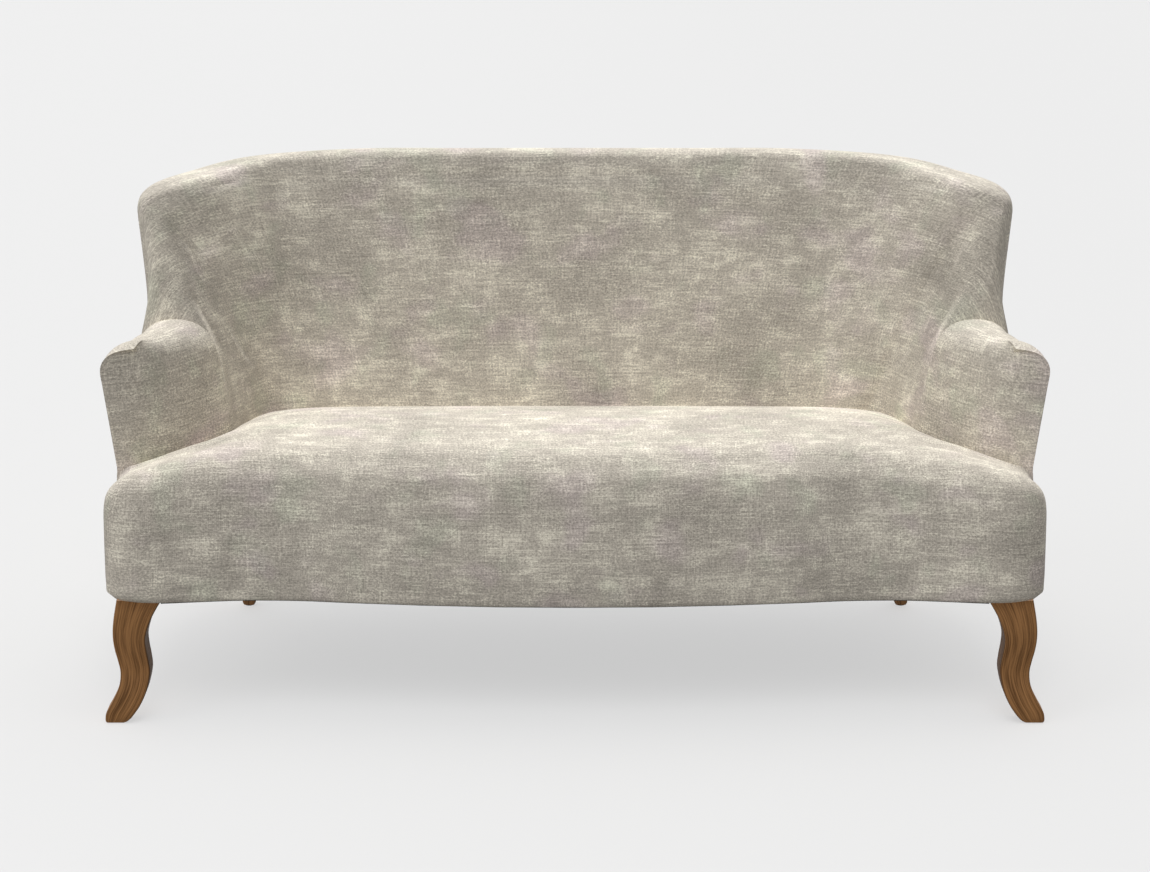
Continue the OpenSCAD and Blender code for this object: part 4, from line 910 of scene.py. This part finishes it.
def seat_piece():
    """Tight seat: front face, rounded edge and top in one cover over foam, tucked in at arms and back."""
    last = ARM_LAST + BACK_LAST

    def half(w, v):
        p = seat_point(w, np.maximum(v, 0))
        s = np.interp(w, *SEAT_PARTNERS)
        a = np.clip(-v, 0, 1) * np.pi / 2
        radius = np.interp(s, *SEAT_HEM)
        p[..., :2] -= seat_front_facing(s) * (radius * (1 - np.cos(a)))[..., None]
        p[..., 2] += radius * np.where(v < 0, 1 - np.sin(a), np.clip(1 - v, 0, 1))
        return p

    def half_out(w, v):
        return facing(half, w, v, last, (-1, 3), 1)
    outer = whole(half, last)
    piece = cushion("seat_pad", outer, whole(seat_under, last), whole_out(half_out, last),
                    nets(outer, 2 * last, 1.0, -1, 3, 12.0), {}, {}, pressure=2.5, cap=0.006)
    dressed(piece, upholstery, "fabric", 0.95, "seat_foam", "seat_cover")


seat_piece()
back_piece()
arm_piece("arm_pad_right", False, "arm_foam_right", "inside_arm_cover_right")
arm_piece("arm_pad_left", True, "arm_foam_left", "inside_arm_cover_left")
outside_arm_piece("outside_arm_right", False, "arm_outer_pad_right", "outside_arm_cover_right")
outside_arm_piece("outside_arm_left", True, "arm_outer_pad_left", "outside_arm_cover_left")
outside_back_piece()


# ---------------- legs
# Cosine at the edge of a leg's flat, and the blend of the painted shade on its inner flat there
FLAT_EDGE, SHADE_BLEND = 0.69, 0.045
# Width of a leg, furthest shift of its middle line, softness of its corners and rings from top to foot
FRONT_W, KICK, FRONT_SOFT, FRONT_RINGS = 0.062, 0.043, 0.13, 120
REAR_W, RAKE, REAR_SOFT, REAR_RINGS = 0.046, 0.076, 0.32, 70
# Front legs in from the arm, in widths of theirs; rear legs out in shares of the arm's half width, back in
# shares of the back's foot, and the share of their rake that goes sideways
FRONT_IN, REAR_OUT, REAR_BACK, SPLAY = 0.79, 0.75, 0.455, 0.42


def lofted(name, middles, halves, softness, inner_side, turns=72):
    """Closed loft of superellipse rings about a line of middles, squarer with less softness. The UV runs
    round it and down its middle line. Its attribute of painted shade is 1 on the flat at the angle
    inner_side, 0 elsewhere."""
    a = np.linspace(0, 2 * np.pi, turns, endpoint=False) + np.pi / turns
    ring = np.stack([np.sign(np.cos(a)) * np.abs(np.cos(a)) ** softness,
                     np.sign(np.sin(a)) * np.abs(np.sin(a)) ** softness], -1)
    n = len(middles)
    flat = middles[:, None, :2] + halves[:, None, :] * ring[None]
    points = np.concatenate([flat, np.broadcast_to(middles[:, None, 2:], (n, turns, 1))], -1)
    k = np.arange(n * turns).reshape(n, turns)
    nxt = np.roll(k, -1, 1)
    quads = np.stack([k[:-1].ravel(), k[1:].ravel(), nxt[1:].ravel(), nxt[:-1].ravel()], 1)
    run = np.concatenate([[0], np.cumsum(np.linalg.norm(np.diff(middles, axis=0), axis=1))])
    step = np.linalg.norm(ring - np.roll(ring, 1, 0), axis=1)
    round_run = np.cumsum(step) - step / 2
    round_run = np.abs(round_run - step.sum() / 2) * halves.mean()
    uv = np.stack(np.broadcast_arrays(round_run, run[:, None]), -1).reshape(-1, 2)
    faces = quads.tolist() + [k[0, :].tolist(), k[-1, ::-1].tolist()]
    piece = mesh_piece(name, points.reshape(-1, 3), faces, uv, CREASE)
    # Painted shade: the inner flat, which faces away from the lamps, is marked for darkening.
    deep = np.clip((np.cos(a - inner_side) - FLAT_EDGE) / SHADE_BLEND, 0, 1)
    inner_shade_layer = piece.data.attributes.new("inner_side_shade", "FLOAT", "POINT")
    inner_shade_layer.data.foreach_set("value", np.tile(deep, n).astype(np.float32))
    return piece


front_rows = smooth(FRONT_LEG, np.linspace(0, len(FRONT_LEG) - 1, FRONT_RINGS))
front_x = ARM_HALF - FRONT_IN * FRONT_W
front_y = SKIN + OUTER_PAD + CLEAR + FRONT_W / 2 - MIDDLE
front_middles = np.stack([front_x + KICK * front_rows[:, 1],
                          front_y - FRONT_W / 2 * (1 - front_rows[:, 4]) - KICK * front_rows[:, 2],
                          HEM * front_rows[:, 0]], 1)
front_halves = FRONT_W / 2 * front_rows[:, 3:5]
rear_rows = smooth(REAR_LEG, np.linspace(0, len(REAR_LEG) - 1, REAR_RINGS))
rear_x = REAR_OUT * ARM_HALF
rear_y = ARM_FRONT + INSIDE_RUN + REAR_BACK * BACK_FOOT
rear_middles = np.stack([rear_x + SPLAY * RAKE * rear_rows[:, 1], rear_y + RAKE * rear_rows[:, 1],
                         HEM * rear_rows[:, 0]], 1)
rear_halves = REAR_W / 2 * rear_rows[:, 2:3] * np.ones((1, 2))
for side, sign, inner_side in (("right", 1, np.pi), ("left", -1, 0.0)):
    turn = np.array([sign, 1, 1])
    dressed(lofted("cabriole_leg_" + side, front_middles * turn, front_halves, FRONT_SOFT, inner_side),
            leg_finish, "leg_wood", None, "front_leg_" + side)
    dressed(lofted("sabre_leg_" + side, rear_middles * turn, rear_halves, REAR_SOFT, inner_side),
            leg_finish, "leg_wood", None, "rear_leg_" + side)


# ---------------- studio
FLOOR_HALF = 40
# Strength of the air for light and for rays that show it
AIR_LIGHT, AIR_SEEN = 0.4, 0.84
# Camera: distance from the seat's front, height, tilt down, lens and sensor
CAMERA_AWAY, CAMERA_HIGH, CAMERA_DOWN = 5.35, 2.000792, 15.238842
CAMERA_LENS, CAMERA_SENSOR = 97.478, 36


def seen_rays(tree):
    """1 for rays of the camera and of mirror-like or clear surfaces, 0 for the rays that only carry light."""
    rays = node(tree, "ShaderNodeLightPath")
    return sums(tree, "MAXIMUM", rays.outputs["Is Camera Ray"],
                sums(tree, "MAXIMUM", rays.outputs["Is Glossy Ray"], rays.outputs["Is Transmission Ray"]))


def studio_floor():
    """A wide level floor whose pale paint shows to the camera, with painted light a little brighter towards
    the left; other rays see a duller one.
    """
    corners = np.array([[-1, -1, 0], [1, -1, 0], [1, 1, 0], [-1, 1, 0]], float) * FLOOR_HALF
    floor = mesh_piece("studio_floor", corners, [[0, 1, 2, 3]])
    material, tree, shader = nodes_of("studio_paint")
    seen = seen_rays(tree)
    place = node(tree, "ShaderNodeTexCoord")
    split = node(tree, "ShaderNodeSeparateXYZ")
    tree.links.new(place.outputs["Object"], split.inputs["Vector"])
    # Painted light: the camera's floor paint is a little brighter on the left than on the right.
    paint = mixed(tree, ramp(tree, split.outputs["X"], -1.6, 1.6), (0.6, 0.6, 0.6), (0.587, 0.587, 0.587))
    tree.links.new(mixed(tree, seen, (0.25, 0.25, 0.25), paint), shader.inputs["Base Color"])
    shader.inputs["Roughness"].default_value = 1.0
    shader.inputs["Specular IOR Level"].default_value = 0.0
    floor.data.materials.append(material)


def sun(name, elevation, azimuth, strength, softness, shadow=False):
    """A soft far lamp; azimuth 0 shines from the front, positive from the viewer's right."""
    data = bpy.data.lights.new(name, "SUN")
    data.energy = strength
    data.angle = math.radians(softness)
    data.use_shadow = shadow
    lamp = bpy.data.objects.new(name, data)
    lamp.rotation_euler = (math.radians(90 - elevation), 0, math.radians(azimuth))
    bpy.context.scene.collection.objects.link(lamp)


studio_floor()
sun("back_light", 45, 180, 3.6, 8)
sun("left_light", 25, -60, 0.95, 40)
sun("front_light", 55, 0, 0.42, 30, True)
world = bpy.data.worlds.new("studio_air")
world.use_nodes = True
air = next(n for n in world.node_tree.nodes if n.type == "BACKGROUND")
air.inputs["Color"].default_value = (1, 1, 1, 1)
brightness = ramp(world.node_tree, seen_rays(world.node_tree), 0.0, 1.0, AIR_LIGHT, AIR_SEEN)
world.node_tree.links.new(brightness, air.inputs["Strength"])
bpy.context.scene.world = world
bpy.context.scene.view_settings.view_transform = "Standard"

camera_data = bpy.data.cameras.new("photo_camera")
camera_data.sensor_width = CAMERA_SENSOR
camera_data.lens = CAMERA_LENS
camera = bpy.data.objects.new("photo_camera", camera_data)
camera.location = (0, -CAMERA_AWAY - MIDDLE, CAMERA_HIGH)
camera.rotation_euler = (math.radians(90 - CAMERA_DOWN), 0, 0)
bpy.context.scene.collection.objects.link(camera)
bpy.context.scene.camera = camera
